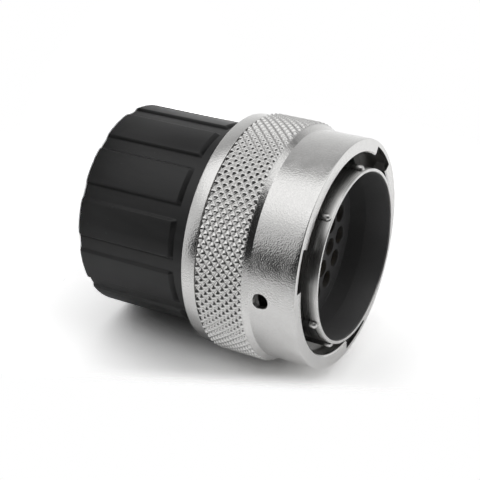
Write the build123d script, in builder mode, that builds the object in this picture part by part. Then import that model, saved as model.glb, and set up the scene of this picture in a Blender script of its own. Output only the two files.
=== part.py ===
from build123d import *
import math
import os

# Bayonet circular connector: a straight plug with a turning coupling ring.
# The axis is +Z towards the mating end, and the rear face of the backshell lies on z = 0.
# All sizes are in millimetres and all angles in degrees.

# Backshell, the moulded end bell
backshell_length = 25.2
pocket_wall = 1.15
chamber_wall = 2.9
chamber_fillet = 1.5
thread_pocket_depth = 12.0
pocket_chamfer = 0.3
rear_corner_radius = 0.8
rear_lip_thickness = 2.2
rear_lip_width = 3.0
cable_entry_chamfer = 0.6

# Grip lands round the backshell
grip_count = 12
grip_height = 0.45
grip_angle = 19.6
grip_side_angle = 0.9
grip_azimuth = 1.0
grip_front_setback = 4.35
grip_ramp_length = 0.85

# Plug shell
bore_radius = 15.75
barrel_wall = 0.9
barrel_lead = 1.74
thread_wall = 2.45
thread_chamfer = 0.6
journal_rise = 0.2
flange_rise = 0.75
flange_thickness = 3.2
stop_lip_height = 0.85
stop_lip_thickness = 1.2
rim_chamfer = 0.15

# Keys on the outside of the barrel, by azimuth
master_key_azimuth = 90.0
master_key_width = 3.2
minor_key_azimuths = (-15.0, -50.0, 237.0, 187.5)
key_round_radius = 0.72
key_height = 0.85
key_setback = 0.3

# Ring seal at the root of the barrel
gasket_thickness = 1.2
gasket_width = 2.2
gasket_edge_radius = 0.3

# Coupling ring, outside, from the mating end back
front_land_wall = 2.64
front_land_length = 9.2
front_edge_radius = 0.4
step_length = 1.5
step_rise = 1.16
relief_width = 0.35
relief_depth = 0.35
rear_land_wall = 2.8
rear_land_taper = 0.5
rear_land_chamfer = 0.35

# Diamond knurl on the coupling ring
knurl_width = 8.6
knurl_depth = 0.45
knurl_columns = 82
knurl_rows = 5
knurl_azimuth = 247.2
knurl_root_wall = 0.4

# Coupling ring, inside
annulus_depth = 11.36
lip_chamfer = 0.25
web_thickness = 2.4
collar_overlap = 0.8

# Bayonet ramps cut in the bore of the ring
ramp_count = 3
notch_azimuth = 30.0
notch_angle = 22.4
ramp_depth = 1.75
ramp_width = 3.6
ramp_turn = 101.5
ramp_entry_depth = 4.2
ramp_rise = 2.6
lock_hole_radius = 1.5

# What keeps the ring on the shell: clip and thrust washer behind its web, wave washer in front
clip_thickness = 1.0
clip_groove_depth = 0.7
clip_gap_angle = 10.0
clip_setback = 0.7
washer_thickness = 0.6
washer_width = 0.95
wave_height = 1.2
wave_thickness = 0.35
wave_width = 0.7
wave_count = 3

# Front insert and its contact cavities
insert_depth = 8.5
insert_length = 7.8
skirt_wall = 0.5
skirt_setback = 0.3
cavity_mouth_rim = 0.37
cavity_mouth_depth = 1.3

# Contact cavities by row, from the middle out
row_counts = (1, 5, 10, 15)
row_radii = (0.0, 3.7, 7.4, 11.15)
row_azimuths = (0.0, 10.0, 9.1, -2.5)

# Socket contacts
contact_radius = 1.3
wire_barrel_radius = 1.05
wire_barrel_length = 8.0
pin_bore_radius = 0.8
pin_bore_depth = 6.0
wire_bore_radius = 0.7
wire_bore_depth = 4.5

# Wire grommet and its follower
wire_seal_radius = 0.85
follower_flange_thickness = 1.4
follower_flange_width = 1.9
follower_wall = 1.4
follower_travel = 1.1
follower_entry = 1.5

# Clearances
running_clearance = 0.05
thrust_clearance = 0.1
seat_clearance = 0.05
thread_clearance = 0.05
collar_clearance = 0.4
washer_clearance = 0.1
lip_clearance = 0.15

# Heights, stacked from the rear face
follower_seat_z = backshell_length - thread_pocket_depth
follower_flange_z = follower_seat_z + follower_flange_thickness
shell_rear_z = follower_flange_z + follower_travel
grommet_rear_z = shell_rear_z + follower_entry
journal_z = backshell_length + thrust_clearance
clip_z = backshell_length + clip_setback
clip_front_z = clip_z + clip_thickness
washer_z = clip_front_z + seat_clearance
web_z = washer_z + washer_thickness + thrust_clearance
web_front_z = web_z + web_thickness
flange_z = web_front_z + wave_height + seat_clearance
gasket_z = flange_z + flange_thickness
gasket_front_z = gasket_z + gasket_thickness
ring_front_z = gasket_front_z + annulus_depth
ring_rear_z = backshell_length - collar_overlap
rim_z = ring_front_z + barrel_lead
insert_face_z = rim_z - insert_depth
insert_seat_z = insert_face_z - insert_length
grommet_front_z = insert_seat_z - stop_lip_thickness
contact_front_z = insert_face_z - cavity_mouth_depth
contact_rear_z = grommet_front_z - wire_barrel_length
step_front_z = ring_front_z - front_land_length
knurl_front_z = step_front_z - step_length
knurl_rear_z = knurl_front_z - knurl_width
relief_rear_z = knurl_rear_z - relief_width
lock_z = ring_front_z - ramp_entry_depth - ramp_rise
grip_foot_z = backshell_length - grip_front_setback
key_tip_z = rim_z - key_setback

# Radii, from the bore of the shell out
barrel_radius = bore_radius + barrel_wall
thread_radius = bore_radius + thread_wall
journal_radius = thread_radius + journal_rise
flange_radius = journal_radius + flange_rise
lip_radius = flange_radius + lip_clearance
ramp_floor_radius = lip_radius + ramp_depth
ring_front_radius = lip_radius + front_land_wall
knurl_radius = ring_front_radius + step_rise
knurl_valley_radius = knurl_radius - knurl_depth
knurl_root_radius = knurl_valley_radius - knurl_root_wall
knurl_bed_radius = knurl_valley_radius - knurl_root_wall / 2
pocket_radius = thread_radius + thread_clearance
collar_radius = pocket_radius + pocket_wall
grip_radius = collar_radius + grip_height
chamber_radius = collar_radius - chamber_wall
cable_entry_radius = chamber_radius - rear_lip_width
ring_rear_bore_radius = collar_radius + collar_clearance
rear_land_radius = ring_rear_bore_radius + rear_land_wall
rear_edge_radius = rear_land_radius - rear_land_taper
stop_lip_radius = bore_radius - stop_lip_height
clip_groove_radius = journal_radius - clip_groove_depth
web_radius = journal_radius + running_clearance
insert_radius = bore_radius - seat_clearance
skirt_radius = insert_radius - skirt_wall
boss_radius = stop_lip_radius - seat_clearance
cavity_radius = contact_radius + seat_clearance
cavity_mouth_radius = cavity_radius + cavity_mouth_rim
grommet_cavity_radius = wire_barrel_radius + seat_clearance
follower_bore_radius = insert_radius - follower_wall
follower_flange_radius = insert_radius + follower_flange_width
washer_inner_radius = journal_radius + washer_clearance
washer_outer_radius = washer_inner_radius + washer_width
wave_outer_radius = washer_inner_radius + wave_width
key_centre_radius = barrel_radius + key_height - key_round_radius

# How far a cutting or rooted shape reaches past the surface that it meets
overrun = 0.5

# How near a height an edge lies to be picked there
pick = 0.01

os.makedirs("parts", exist_ok=True)


def contact_places():
    """Centres of the contact cavities, row by row from the middle out."""
    places = []
    for count, radius, azimuth in zip(row_counts, row_radii, row_azimuths):
        for index in range(count):
            angle = math.radians(azimuth + index * 360 / count)
            places.append((radius * math.cos(angle), radius * math.sin(angle)))
    return places


def circles_at(part, height):
    """The part's circular edges at this height, from the smallest radius to the largest."""
    circles = part.edges().filter_by(GeomType.CIRCLE)
    return circles.filter_by_position(Axis.Z, height - pick, height + pick).sort_by(SortBy.RADIUS)


# One grip land: a bar with sloping sides, cut to its rounded rear and its front ramp
with BuildPart() as grip_land:
    with BuildSketch(Plane.XY):
        with BuildLine():
            top = CenterArc((0, 0), grip_radius, -grip_angle / 2, grip_angle)
            root_half = grip_angle / 2 + grip_side_angle
            root = CenterArc((0, 0), collar_radius - overrun, -root_half, 2 * root_half)
            Line(top @ 0, root @ 0)
            Line(top @ 1, root @ 1)
        make_face()
    extrude(amount=grip_foot_z)
    with BuildSketch(Plane.XZ):
        with BuildLine():
            corner = rear_corner_radius
            Polyline(
                (grip_radius, corner),
                (grip_radius, grip_foot_z - grip_ramp_length),
                (collar_radius - overrun / 4, grip_foot_z),
                (chamber_radius, grip_foot_z),
                (chamber_radius, 0),
                (grip_radius - corner, 0),
            )
            CenterArc((grip_radius - corner, corner), corner, -90, 90)
        make_face()
    revolve(axis=Axis.Z, mode=Mode.INTERSECT)

# Backshell: a tube with a thread pocket in front, a cable chamber and a rear lip, then the lands
with BuildPart() as backshell:
    with BuildSketch(Plane.XZ):
        with BuildLine():
            Polyline(
                (cable_entry_radius, 0),
                (collar_radius, 0),
                (collar_radius, backshell_length),
                (pocket_radius, backshell_length),
                (pocket_radius, follower_seat_z),
                (chamber_radius, follower_seat_z),
                (chamber_radius, rear_lip_thickness),
                (cable_entry_radius, rear_lip_thickness),
                close=True,
            )
        make_face()
    revolve(axis=Axis.Z)
    chamfer(circles_at(backshell, 0)[0], cable_entry_chamfer)
    fillet(circles_at(backshell, 0)[-1], rear_corner_radius)
    fillet(circles_at(backshell, rear_lip_thickness)[-1], chamber_fillet)
    chamfer(circles_at(backshell, backshell_length)[0], pocket_chamfer)
    with PolarLocations(0, grip_count, start_angle=grip_azimuth):
        add(grip_land.part)

backshell.part.label = "backshell"
export_step(backshell.part, "parts/backshell.step")

# Plug shell: the turned outside, then the keys, then the bores
key_length = key_tip_z - key_round_radius - gasket_front_z
key_round_z = gasket_front_z + key_length
upright = (Align.CENTER, Align.CENTER, Align.MIN)
with BuildPart() as plug_shell:
    with BuildSketch(Plane.XZ):
        with BuildLine():
            Polyline(
                (0, shell_rear_z),
                (thread_radius - thread_chamfer, shell_rear_z),
                (thread_radius, shell_rear_z + thread_chamfer),
                (thread_radius, journal_z),
                (journal_radius, journal_z),
                (journal_radius, clip_z - seat_clearance),
                (clip_groove_radius, clip_z - seat_clearance),
                (clip_groove_radius, clip_front_z + seat_clearance),
                (journal_radius, clip_front_z + seat_clearance),
                (journal_radius, flange_z),
                (flange_radius, flange_z),
                (flange_radius, gasket_z),
                (barrel_radius, gasket_z),
                (barrel_radius, rim_z - rim_chamfer),
                (barrel_radius - rim_chamfer, rim_z),
                (0, rim_z),
                close=True,
            )
        make_face()
    revolve(axis=Axis.Z)
    for azimuth in minor_key_azimuths:
        with PolarLocations(key_centre_radius, 1, start_angle=azimuth):
            with Locations((0, 0, gasket_front_z)):
                Cylinder(key_round_radius, key_length, align=upright)
            with Locations((0, 0, key_round_z)):
                Sphere(key_round_radius)
    with PolarLocations(key_centre_radius, 1, start_angle=master_key_azimuth):
        half_span = master_key_width / 2 - key_round_radius
        with Locations((0, half_span, gasket_front_z), (0, -half_span, gasket_front_z)):
            Cylinder(key_round_radius, key_length, align=upright)
        with Locations((0, 0, gasket_front_z)):
            Box(2 * key_round_radius, 2 * half_span, key_length, align=upright)
        with Locations((0, half_span, key_round_z), (0, -half_span, key_round_z)):
            Sphere(key_round_radius)
        with Locations((0, 0, key_round_z)):
            Cylinder(key_round_radius, 2 * half_span, rotation=(90, 0, 0))
    with BuildSketch(Plane.XZ):
        with BuildLine():
            Polyline(
                (0, shell_rear_z - overrun),
                (bore_radius, shell_rear_z - overrun),
                (bore_radius, grommet_front_z),
                (stop_lip_radius, grommet_front_z),
                (stop_lip_radius, insert_seat_z),
                (bore_radius, insert_seat_z),
                (bore_radius, rim_z - rim_chamfer),
                (bore_radius + rim_chamfer + overrun, rim_z + overrun),
                (0, rim_z + overrun),
                close=True,
            )
        make_face()
    revolve(axis=Axis.Z, mode=Mode.SUBTRACT)

plug_shell.part.label = "plug_shell"
export_step(plug_shell.part, "parts/plug_shell.step")

# Ring seal, seated on the flange round the root of the barrel
with BuildPart() as barrel_gasket:
    with BuildSketch(Plane.XY.offset(gasket_z)):
        Circle(barrel_radius + gasket_width)
        Circle(barrel_radius + seat_clearance, mode=Mode.SUBTRACT)
    extrude(amount=gasket_thickness)
    fillet(circles_at(barrel_gasket, gasket_front_z), gasket_edge_radius)

barrel_gasket.part.label = "barrel_gasket"
export_step(barrel_gasket.part, "parts/barrel_gasket.step")

# One bayonet ramp, as the space that it takes: a helical groove that ends in a round pocket.
# It starts at the lock end, over +X, and climbs towards the mating end as it turns.
ramp_pitch = ramp_rise * 360 / ramp_turn
groove_inner_radius = lip_radius - overrun
groove_depth = ramp_floor_radius - groove_inner_radius
with BuildPart() as ramp_groove:
    with BuildLine() as ramp_path:
        climb = Helix(ramp_pitch, ramp_rise, groove_inner_radius + groove_depth / 2, center=(0, 0, lock_z))
    with BuildSketch(Plane(origin=climb @ 0, x_dir=(1, 0, 0), z_dir=climb % 0)):
        Rectangle(groove_depth, ramp_width)
    sweep(path=ramp_path.line, is_frenet=True)
    with BuildSketch(Plane(origin=(groove_inner_radius, 0, lock_z), x_dir=(0, 1, 0), z_dir=(1, 0, 0))):
        Circle(ramp_width / 2)
    extrude(amount=groove_depth)

# One entry notch, as the space that it takes: an axial slot from the front face to the ramp
with BuildPart() as entry_notch:
    notch_depth = ramp_entry_depth + ramp_width / 2
    with BuildSketch(Plane.XY.offset(ring_front_z - notch_depth)):
        with BuildLine():
            floor = CenterArc((0, 0), ramp_floor_radius, -notch_angle / 2, notch_angle)
            mouth = CenterArc((0, 0), groove_inner_radius, -notch_angle / 2, notch_angle)
            Line(floor @ 0, mouth @ 0)
            Line(floor @ 1, mouth @ 1)
        make_face()
    extrude(amount=notch_depth + overrun)

# Knurl: one row of pyramids more than the band holds, cut back to the cone in front of it.
# A column of diamonds has its centres in the middle of the rows, and the next one on their borders.
knurl_pitch = knurl_width / knurl_rows
knurl_cone_slope = step_rise / step_length


def knurl_point(column, row, radius):
    """A point of the knurl's lattice, at this count of columns round and rows up."""
    turn = math.radians(knurl_azimuth + column * 360 / knurl_columns)
    height = knurl_rear_z + row * knurl_pitch
    return Vector(radius * math.cos(turn), radius * math.sin(turn), height)


def pyramid_faces(column, row):
    """The sides of one pyramid that lie within the rows: two below its top and two above."""
    top = knurl_point(column, row, knurl_radius)
    west = knurl_point(column - 0.5, row, knurl_valley_radius)
    east = knurl_point(column + 0.5, row, knurl_valley_radius)
    outlines = []
    if row > 0:
        south = knurl_point(column, row - 0.5, knurl_valley_radius)
        outlines += [(top, west, south), (top, south, east)]
    if row < knurl_rows + 1:
        north = knurl_point(column, row + 0.5, knurl_valley_radius)
        outlines += [(top, east, north), (top, north, west)]
    return [Face(Wire.make_polygon(outline)) for outline in outlines]


def knurl_end(row):
    """The flat end of the knurled sleeve: a circle inside, a zigzag through tops and valleys outside."""
    rim = []
    for column in range(knurl_columns):
        rim.append(knurl_point(column, row, knurl_valley_radius))
        rim.append(knurl_point(column + 0.5, row, knurl_radius))
    plane = Plane.XY.offset(knurl_rear_z + row * knurl_pitch)
    return Face(Wire.make_polygon(rim), [Wire.make_circle(knurl_root_radius, plane)])


sleeve_length = (knurl_rows + 1) * knurl_pitch
with BuildPart() as sleeve_core:
    with BuildSketch(Plane.XY.offset(knurl_rear_z)):
        Circle(knurl_root_radius)
    extrude(amount=sleeve_length)
sleeve_faces = [knurl_end(0), knurl_end(knurl_rows + 1)]
sleeve_faces += sleeve_core.faces().filter_by(GeomType.CYLINDER)
for column in range(knurl_columns):
    for row in range(knurl_rows + 1):
        sleeve_faces += pyramid_faces(column, row + 0.5)
    for row in range(knurl_rows + 2):
        sleeve_faces += pyramid_faces(column + 0.5, row)
with BuildPart() as knurl_sleeve:
    add(Solid(Shell(sleeve_faces)))
    with BuildSketch(Plane.XZ):
        with BuildLine():
            brim = knurl_radius + overrun
            brim_z = knurl_front_z - overrun / knurl_cone_slope
            Polyline(
                (0, knurl_rear_z),
                (brim, knurl_rear_z),
                (brim, brim_z),
                (ring_front_radius, step_front_z),
                (0, step_front_z),
                close=True,
            )
        make_face()
    revolve(axis=Axis.Z, mode=Mode.INTERSECT)

# Coupling ring: the turned body, its entry notches, ramps and lock holes, then the knurl
lock_hole_reach = knurl_radius - ramp_floor_radius
with BuildPart() as coupling_ring:
    with BuildSketch(Plane.XZ):
        with BuildLine():
            Polyline(
                (ring_rear_bore_radius, ring_rear_z),
                (rear_edge_radius - rear_land_chamfer, ring_rear_z),
                (rear_edge_radius, ring_rear_z + rear_land_chamfer),
                (rear_land_radius, relief_rear_z),
                (rear_land_radius - relief_depth, relief_rear_z),
                (rear_land_radius - relief_depth, knurl_rear_z),
                (knurl_bed_radius, knurl_rear_z),
                (knurl_bed_radius, knurl_front_z),
                (knurl_valley_radius, knurl_front_z),
                (knurl_valley_radius, knurl_front_z + knurl_depth / knurl_cone_slope),
                (ring_front_radius, step_front_z),
                (ring_front_radius, ring_front_z),
                (lip_radius, ring_front_z),
                (lip_radius, web_front_z),
                (web_radius, web_front_z),
                (web_radius, web_z),
                (ring_rear_bore_radius, web_z),
                close=True,
            )
        make_face()
    revolve(axis=Axis.Z)
    fillet(circles_at(coupling_ring, ring_front_z)[-1], front_edge_radius)
    chamfer(circles_at(coupling_ring, ring_front_z)[0], lip_chamfer)
    with PolarLocations(0, ramp_count, start_angle=notch_azimuth):
        add(entry_notch.part, mode=Mode.SUBTRACT)
    with PolarLocations(0, ramp_count, start_angle=notch_azimuth - ramp_turn):
        add(ramp_groove.part, mode=Mode.SUBTRACT)
        with Locations(Location((ramp_floor_radius, 0, lock_z), (0, 90, 0))):
            Cylinder(lock_hole_radius, 2 * lock_hole_reach, mode=Mode.SUBTRACT)
    add(knurl_sleeve.part)

coupling_ring.part.label = "coupling_ring"
export_step(coupling_ring.part, "parts/coupling_ring.step")

# Thrust washer, between the clip and the inner web of the ring
with BuildPart() as thrust_washer:
    with BuildSketch(Plane.XY.offset(washer_z)):
        Circle(washer_outer_radius)
        Circle(washer_inner_radius, mode=Mode.SUBTRACT)
    extrude(amount=washer_thickness)

thrust_washer.part.label = "thrust_washer"
export_step(thrust_washer.part, "parts/thrust_washer.step")

# Wave washer, between the web of the ring and the flange of the shell:
# the ruled face between two closed wavy lines, given its thickness
wave_room = wave_height - wave_thickness
wave_swing = wave_room / 2 - seat_clearance


def wave_line(radius):
    """Points of a closed line at this radius that rises and falls once for each wave."""
    points = []
    steps = 8 * wave_count
    for index in range(steps):
        turn = 2 * math.pi * index / steps
        height = web_front_z + wave_room / 2 + wave_swing * math.cos(wave_count * turn)
        points.append((radius * math.cos(turn), radius * math.sin(turn), height))
    return points


with BuildPart() as wave_washer:
    with BuildLine() as inner_wave:
        Spline(*wave_line(washer_inner_radius), periodic=True)
    with BuildLine() as outer_wave:
        Spline(*wave_line(wave_outer_radius), periodic=True)
    wavy_face = Face.make_surface_from_curves(inner_wave.edge(), outer_wave.edge())
    extrude(wavy_face, amount=wave_thickness, dir=(0, 0, 1))

wave_washer.part.label = "wave_washer"
export_step(wave_washer.part, "parts/wave_washer.step")

# Retaining clip: a split ring sprung into the groove of the shell
with BuildPart() as retaining_clip:
    with BuildSketch(Plane.XY.offset(clip_z)):
        with BuildLine():
            span = 360 - clip_gap_angle
            outside = CenterArc((0, 0), washer_outer_radius, clip_gap_angle / 2, span)
            inside = CenterArc((0, 0), clip_groove_radius + seat_clearance, clip_gap_angle / 2, span)
            Line(outside @ 0, inside @ 0)
            Line(outside @ 1, inside @ 1)
        make_face()
    extrude(amount=clip_thickness)

retaining_clip.part.label = "retaining_clip"
export_step(retaining_clip.part, "parts/retaining_clip.step")

# Front insert: the cavity block with its rear boss, and the skirt that lines the barrel
with BuildPart() as front_insert:
    with BuildSketch(Plane.XZ):
        with BuildLine():
            Polyline(
                (0, grommet_front_z),
                (boss_radius, grommet_front_z),
                (boss_radius, insert_seat_z),
                (insert_radius, insert_seat_z),
                (insert_radius, rim_z - skirt_setback),
                (skirt_radius, rim_z - skirt_setback),
                (skirt_radius, insert_face_z),
                (0, insert_face_z),
                close=True,
            )
        make_face()
    revolve(axis=Axis.Z)
    with Locations(*[(x, y, insert_face_z) for x, y in contact_places()]):
        CounterBoreHole(cavity_radius, cavity_mouth_radius, cavity_mouth_depth)

front_insert.part.label = "front_insert"
export_step(front_insert.part, "parts/front_insert.step")

# Wire grommet: a wide hole for each wire barrel, and a tight one for the wire behind it
with BuildPart() as wire_grommet:
    with BuildSketch(Plane.XY.offset(grommet_rear_z)):
        Circle(insert_radius)
    extrude(amount=grommet_front_z - grommet_rear_z)
    with Locations(*[(x, y, grommet_front_z) for x, y in contact_places()]):
        CounterBoreHole(wire_seal_radius, grommet_cavity_radius, wire_barrel_length)

wire_grommet.part.label = "wire_grommet"
export_step(wire_grommet.part, "parts/wire_grommet.step")

# Grommet follower: a flange on the seat of the backshell, and a nose in the bore of the shell
with BuildPart() as grommet_follower:
    with BuildSketch(Plane.XZ):
        with BuildLine():
            Polyline(
                (follower_bore_radius, follower_seat_z),
                (follower_flange_radius, follower_seat_z),
                (follower_flange_radius, follower_flange_z),
                (insert_radius, follower_flange_z),
                (insert_radius, grommet_rear_z),
                (follower_bore_radius, grommet_rear_z),
                close=True,
            )
        make_face()
    revolve(axis=Axis.Z)

grommet_follower.part.label = "grommet_follower"
export_step(grommet_follower.part, "parts/grommet_follower.step")

# Socket contacts: a front barrel with the pin bore, and a thinner wire barrel behind
for number, (x, y) in enumerate(contact_places(), start=1):
    with BuildPart() as contact:
        with Locations((x, y, grommet_front_z)):
            Cylinder(contact_radius, contact_front_z - grommet_front_z, align=upright)
        with Locations((x, y, contact_rear_z)):
            Cylinder(wire_barrel_radius, wire_barrel_length, align=upright)
            Cylinder(wire_bore_radius, wire_bore_depth, align=upright, mode=Mode.SUBTRACT)
        with Locations((x, y, contact_front_z - pin_bore_depth)):
            Cylinder(pin_bore_radius, pin_bore_depth, align=upright, mode=Mode.SUBTRACT)
    name = f"contact_{number:02d}"
    contact.part.label = name
    export_step(contact.part, f"parts/{name}.step")
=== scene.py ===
import math

import bmesh
import bpy
import numpy as np
from bpy.props import FloatProperty, FloatVectorProperty, IntProperty, PointerProperty
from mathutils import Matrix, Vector
from mathutils.geometry import delaunay_2d_cdt


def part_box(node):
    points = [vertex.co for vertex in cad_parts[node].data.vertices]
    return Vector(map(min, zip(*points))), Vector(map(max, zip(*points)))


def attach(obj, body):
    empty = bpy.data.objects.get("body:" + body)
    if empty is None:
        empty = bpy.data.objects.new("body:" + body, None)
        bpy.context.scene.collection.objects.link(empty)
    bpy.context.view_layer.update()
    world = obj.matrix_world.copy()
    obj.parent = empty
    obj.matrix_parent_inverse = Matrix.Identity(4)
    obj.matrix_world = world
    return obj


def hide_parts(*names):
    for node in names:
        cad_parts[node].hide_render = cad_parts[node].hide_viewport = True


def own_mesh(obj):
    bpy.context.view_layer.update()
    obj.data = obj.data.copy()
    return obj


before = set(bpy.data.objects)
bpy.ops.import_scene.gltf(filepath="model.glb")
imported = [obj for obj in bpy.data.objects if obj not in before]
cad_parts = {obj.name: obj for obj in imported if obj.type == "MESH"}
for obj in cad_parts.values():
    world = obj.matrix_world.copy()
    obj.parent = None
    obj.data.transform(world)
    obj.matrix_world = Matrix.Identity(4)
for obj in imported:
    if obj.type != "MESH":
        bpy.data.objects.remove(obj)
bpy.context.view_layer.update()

bl_info = {
    "name": "Bayonet circular connector",
    "version": (1, 0, 0),
    "blender": (4, 5, 0),
    "location": "3D View > Sidebar > Connector",
    "description": "Dresses the pieces of a bayonet circular connector",
    "category": "Object",
}

MM = 0.001
RING_LOW, RING_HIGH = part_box("coupling_ring")
SHELL_LOW, SHELL_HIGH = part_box("plug_shell")
BACK_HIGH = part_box("backshell")[1]
INSERT_LOW, INSERT_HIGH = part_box("front_insert")
WAVE_LOW, WAVE_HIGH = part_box("wave_washer")
GASKET_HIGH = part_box("barrel_gasket")[1]


def length(name, value, description):
    """A length property in metres, given here in millimetres."""
    return FloatProperty(name=name, default=value * MM, description=description, unit="LENGTH",
                         subtype="DISTANCE", precision=5)


def angle(name, value, description):
    """An angle property, given here in degrees."""
    return FloatProperty(name=name, default=math.radians(value), description=description,
                         unit="ROTATION", subtype="ANGLE")


def colour(name, value, description):
    """A colour property in linear red, green and blue."""
    return FloatVectorProperty(name=name, default=value, size=3, min=0.0, max=1.0,
                               description=description, subtype="COLOR")


def share(name, value, description):
    """A plain number from nothing to one."""
    return FloatProperty(name=name, default=value, min=0.0, max=1.0, description=description,
                         subtype="FACTOR")


def count(name, value, least, description):
    """A whole number."""
    return IntProperty(name=name, default=value, min=least, description=description)


def paleness(name, value, description):
    """How pale a stage piece looks, white being one."""
    return FloatProperty(name=name, default=value, min=0.0, description=description)


class RingSizes(bpy.types.PropertyGroup):
    """Sizes of the coupling ring and its knurl."""

    front_radius: length("Front radius", 21.94, "Outer radius of the smooth front land")
    front_land: length("Front land", 9.2, "Length of the smooth front land")
    front_edge: length("Front edge", 0.17, "Rounding of the outer front edge")
    step: length("Step", 1.5, "Length of the cone between the front land and the knurl")
    knurl_width: length("Knurl width", 8.6, "Length of the knurled band")
    knurl_depth: length("Knurl depth", 0.45, "Height of the knurl's diamonds")
    knurl_columns: count("Knurl columns", 82, 12, "Diamonds round the ring")
    knurl_rows: count("Knurl rows", 5, 1, "Diamonds across the band")
    knurl_azimuth: angle("Knurl azimuth", 247.2, "Where one column of diamonds stands")
    relief: length("Relief", 0.5, "Width and depth of the line behind the knurl")
    rear_radius: length("Rear radius", 22.6, "Outer radius of the plain rear land")
    rear_taper: length("Rear taper", 0.1, "How much the rear land narrows to the back")
    lip_radius: length("Lip radius", 19.3, "Inner radius at the front")
    lip_chamfer: length("Lip chamfer", 0.25, "Chamfer of the inner front edge")
    floor_radius: length("Ramp floor radius", 21.05, "Radius at the floor of the ramps and notches")
    ramp_width: length("Ramp width", 3.6, "Width of the bayonet ramps")
    ramp_turn: angle("Ramp turn", 101.5, "Turn from the lock pocket to the middle of the notch")
    ramp_rise: length("Ramp rise", 2.6, "How far a ramp climbs towards the front")
    lock_depth: length("Lock depth", 6.8, "Depth of the lock pockets below the front face")
    notch_azimuth: angle("Notch azimuth", 30.0, "Where the first entry notch stands")
    notch_angle: angle("Notch angle", 22.4, "Width of an entry notch")
    hole_radius: length("Sight hole radius", 1.5, "Radius of the holes over the lock pockets")
    hole_chamfer: length("Sight hole chamfer", 0.1, "Chamfer round the sight holes")
    web_front: length("Web front", 30.05, "Height of the inner web's front face")
    web_rear: length("Web rear", 27.65, "Height of the inner web's rear face")
    web_radius: length("Web radius", 18.45, "Inner radius of the web")
    rear_bore: length("Rear bore", 19.8, "Inner radius behind the web")


class ShellSizes(bpy.types.PropertyGroup):
    """Sizes of the keyed shell."""

    bore: length("Bore", 15.75, "Inner radius")
    wall: length("Barrel wall", 0.9, "Thickness of the barrel")
    rim_chamfer: length("Rim chamfer", 0.1, "Rounding of the barrel's rim")
    rim_wall: length("Rim wall", 0.58, "Thickness of the barrel at its rim")
    rim_depth: length("Rim depth", 2.0, "Depth of the thinner rim")
    thread_radius: length("Thread radius", 18.2, "Outer radius of the rear thread")
    thread_pitch: length("Thread pitch", 1.0, "Pitch of the rear thread")
    thread_depth: length("Thread depth", 0.45, "Depth of the rear thread")
    thread_chamfer: length("Thread chamfer", 0.6, "Chamfer at the thread's rear end")
    journal: length("Journal", 18.4, "Radius that the ring turns on")
    flange: length("Flange", 19.15, "Radius of the flange")
    flange_rear: length("Flange rear", 31.3, "Height of the flange's rear face")
    flange_front: length("Flange front", 34.5, "Height of the flange's front face")
    clip_gap: length("Clip gap", 0.65, "From the backshell to the clip's groove")
    clip_width: length("Clip groove width", 1.1, "Width of the clip's groove")
    groove_depth: length("Groove depth", 0.7, "Depth of the clip's groove")
    stop_radius: length("Stop radius", 14.9, "Inner radius of the lip that the insert rests on")
    stop_rear: length("Stop rear", 31.3, "Height of the stop lip's rear face")
    stop_front: length("Stop front", 32.5, "Height of the stop lip's front face")
    key_round: length("Key rounding", 0.72, "Radius of the keys' rounding")
    key_height: length("Key height", 0.85, "How far the keys stand out of the barrel")
    key_setback: length("Key setback", 0.3, "How far the keys end behind the rim")
    master_width: length("Master key width", 3.2, "Width of the wide key")


class BackshellSizes(bpy.types.PropertyGroup):
    """Sizes of the fluted backshell."""

    collar: length("Collar radius", 19.4, "Radius between and in front of the lands")
    rounding: length("Land rounding", 0.12, "Rounding of the lands' edges")
    lands: count("Lands", 12, 3, "Raised lands round the backshell")
    land_angle: angle("Land angle", 19.6, "Width of a land at its top")
    side_angle: angle("Side angle", 1.4, "Width of a land's sloping side")
    azimuth: angle("Land azimuth", 1.0, "Where the first land stands")
    ramp_top: length("Ramp top", 20.0, "Height where a land's front ramp starts")
    ramp_foot: length("Ramp foot", 20.85, "Height where a land's front ramp meets the collar")
    corner: length("Rear corner", 0.8, "Rounding of the rear edge")
    chamber: length("Chamber radius", 16.5, "Inner radius of the cable chamber")
    seat: length("Seat", 13.2, "Height of the seat that clamps the follower")
    pocket: length("Pocket radius", 18.25, "Inner radius of the thread pocket")
    mouth_chamfer: length("Mouth chamfer", 0.3, "Chamfer at the mouth of the pocket")
    thread_depth: length("Thread depth", 0.35, "Depth of the pocket's thread")
    fillet: length("Chamber fillet", 1.5, "Fillet at the rear of the chamber")
    entry: length("Cable entry", 13.5, "Radius of the cable entry")
    entry_chamfer: length("Entry chamfer", 0.6, "Chamfer round the cable entry")
    lip: length("Rear lip", 2.2, "Thickness of the rear lip")


class InsertSizes(bpy.types.PropertyGroup):
    """Sizes of the front insert."""

    radius: length("Radius", 15.7, "Outer radius of the insert and its skirt")
    skirt: length("Skirt radius", 15.2, "Inner radius of the skirt")
    boss: length("Boss radius", 14.85, "Radius of the rear boss")
    seat: length("Seat", 32.5, "Height of the shoulder above the boss")
    face: length("Face", 40.3, "Height of the contact face")
    mouth: length("Cavity mouth", 1.72, "Radius of a cavity's mouth")
    mouth_depth: length("Mouth depth", 1.3, "Depth of a cavity's mouth")
    mouth_bevel: length("Mouth bevel", 0.1, "Bevel round a cavity's mouth")
    cavity: length("Cavity", 1.35, "Radius of a cavity")
    corner: length("Rear corner", 0.12, "Chamfer of the boss's rear edge")


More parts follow.
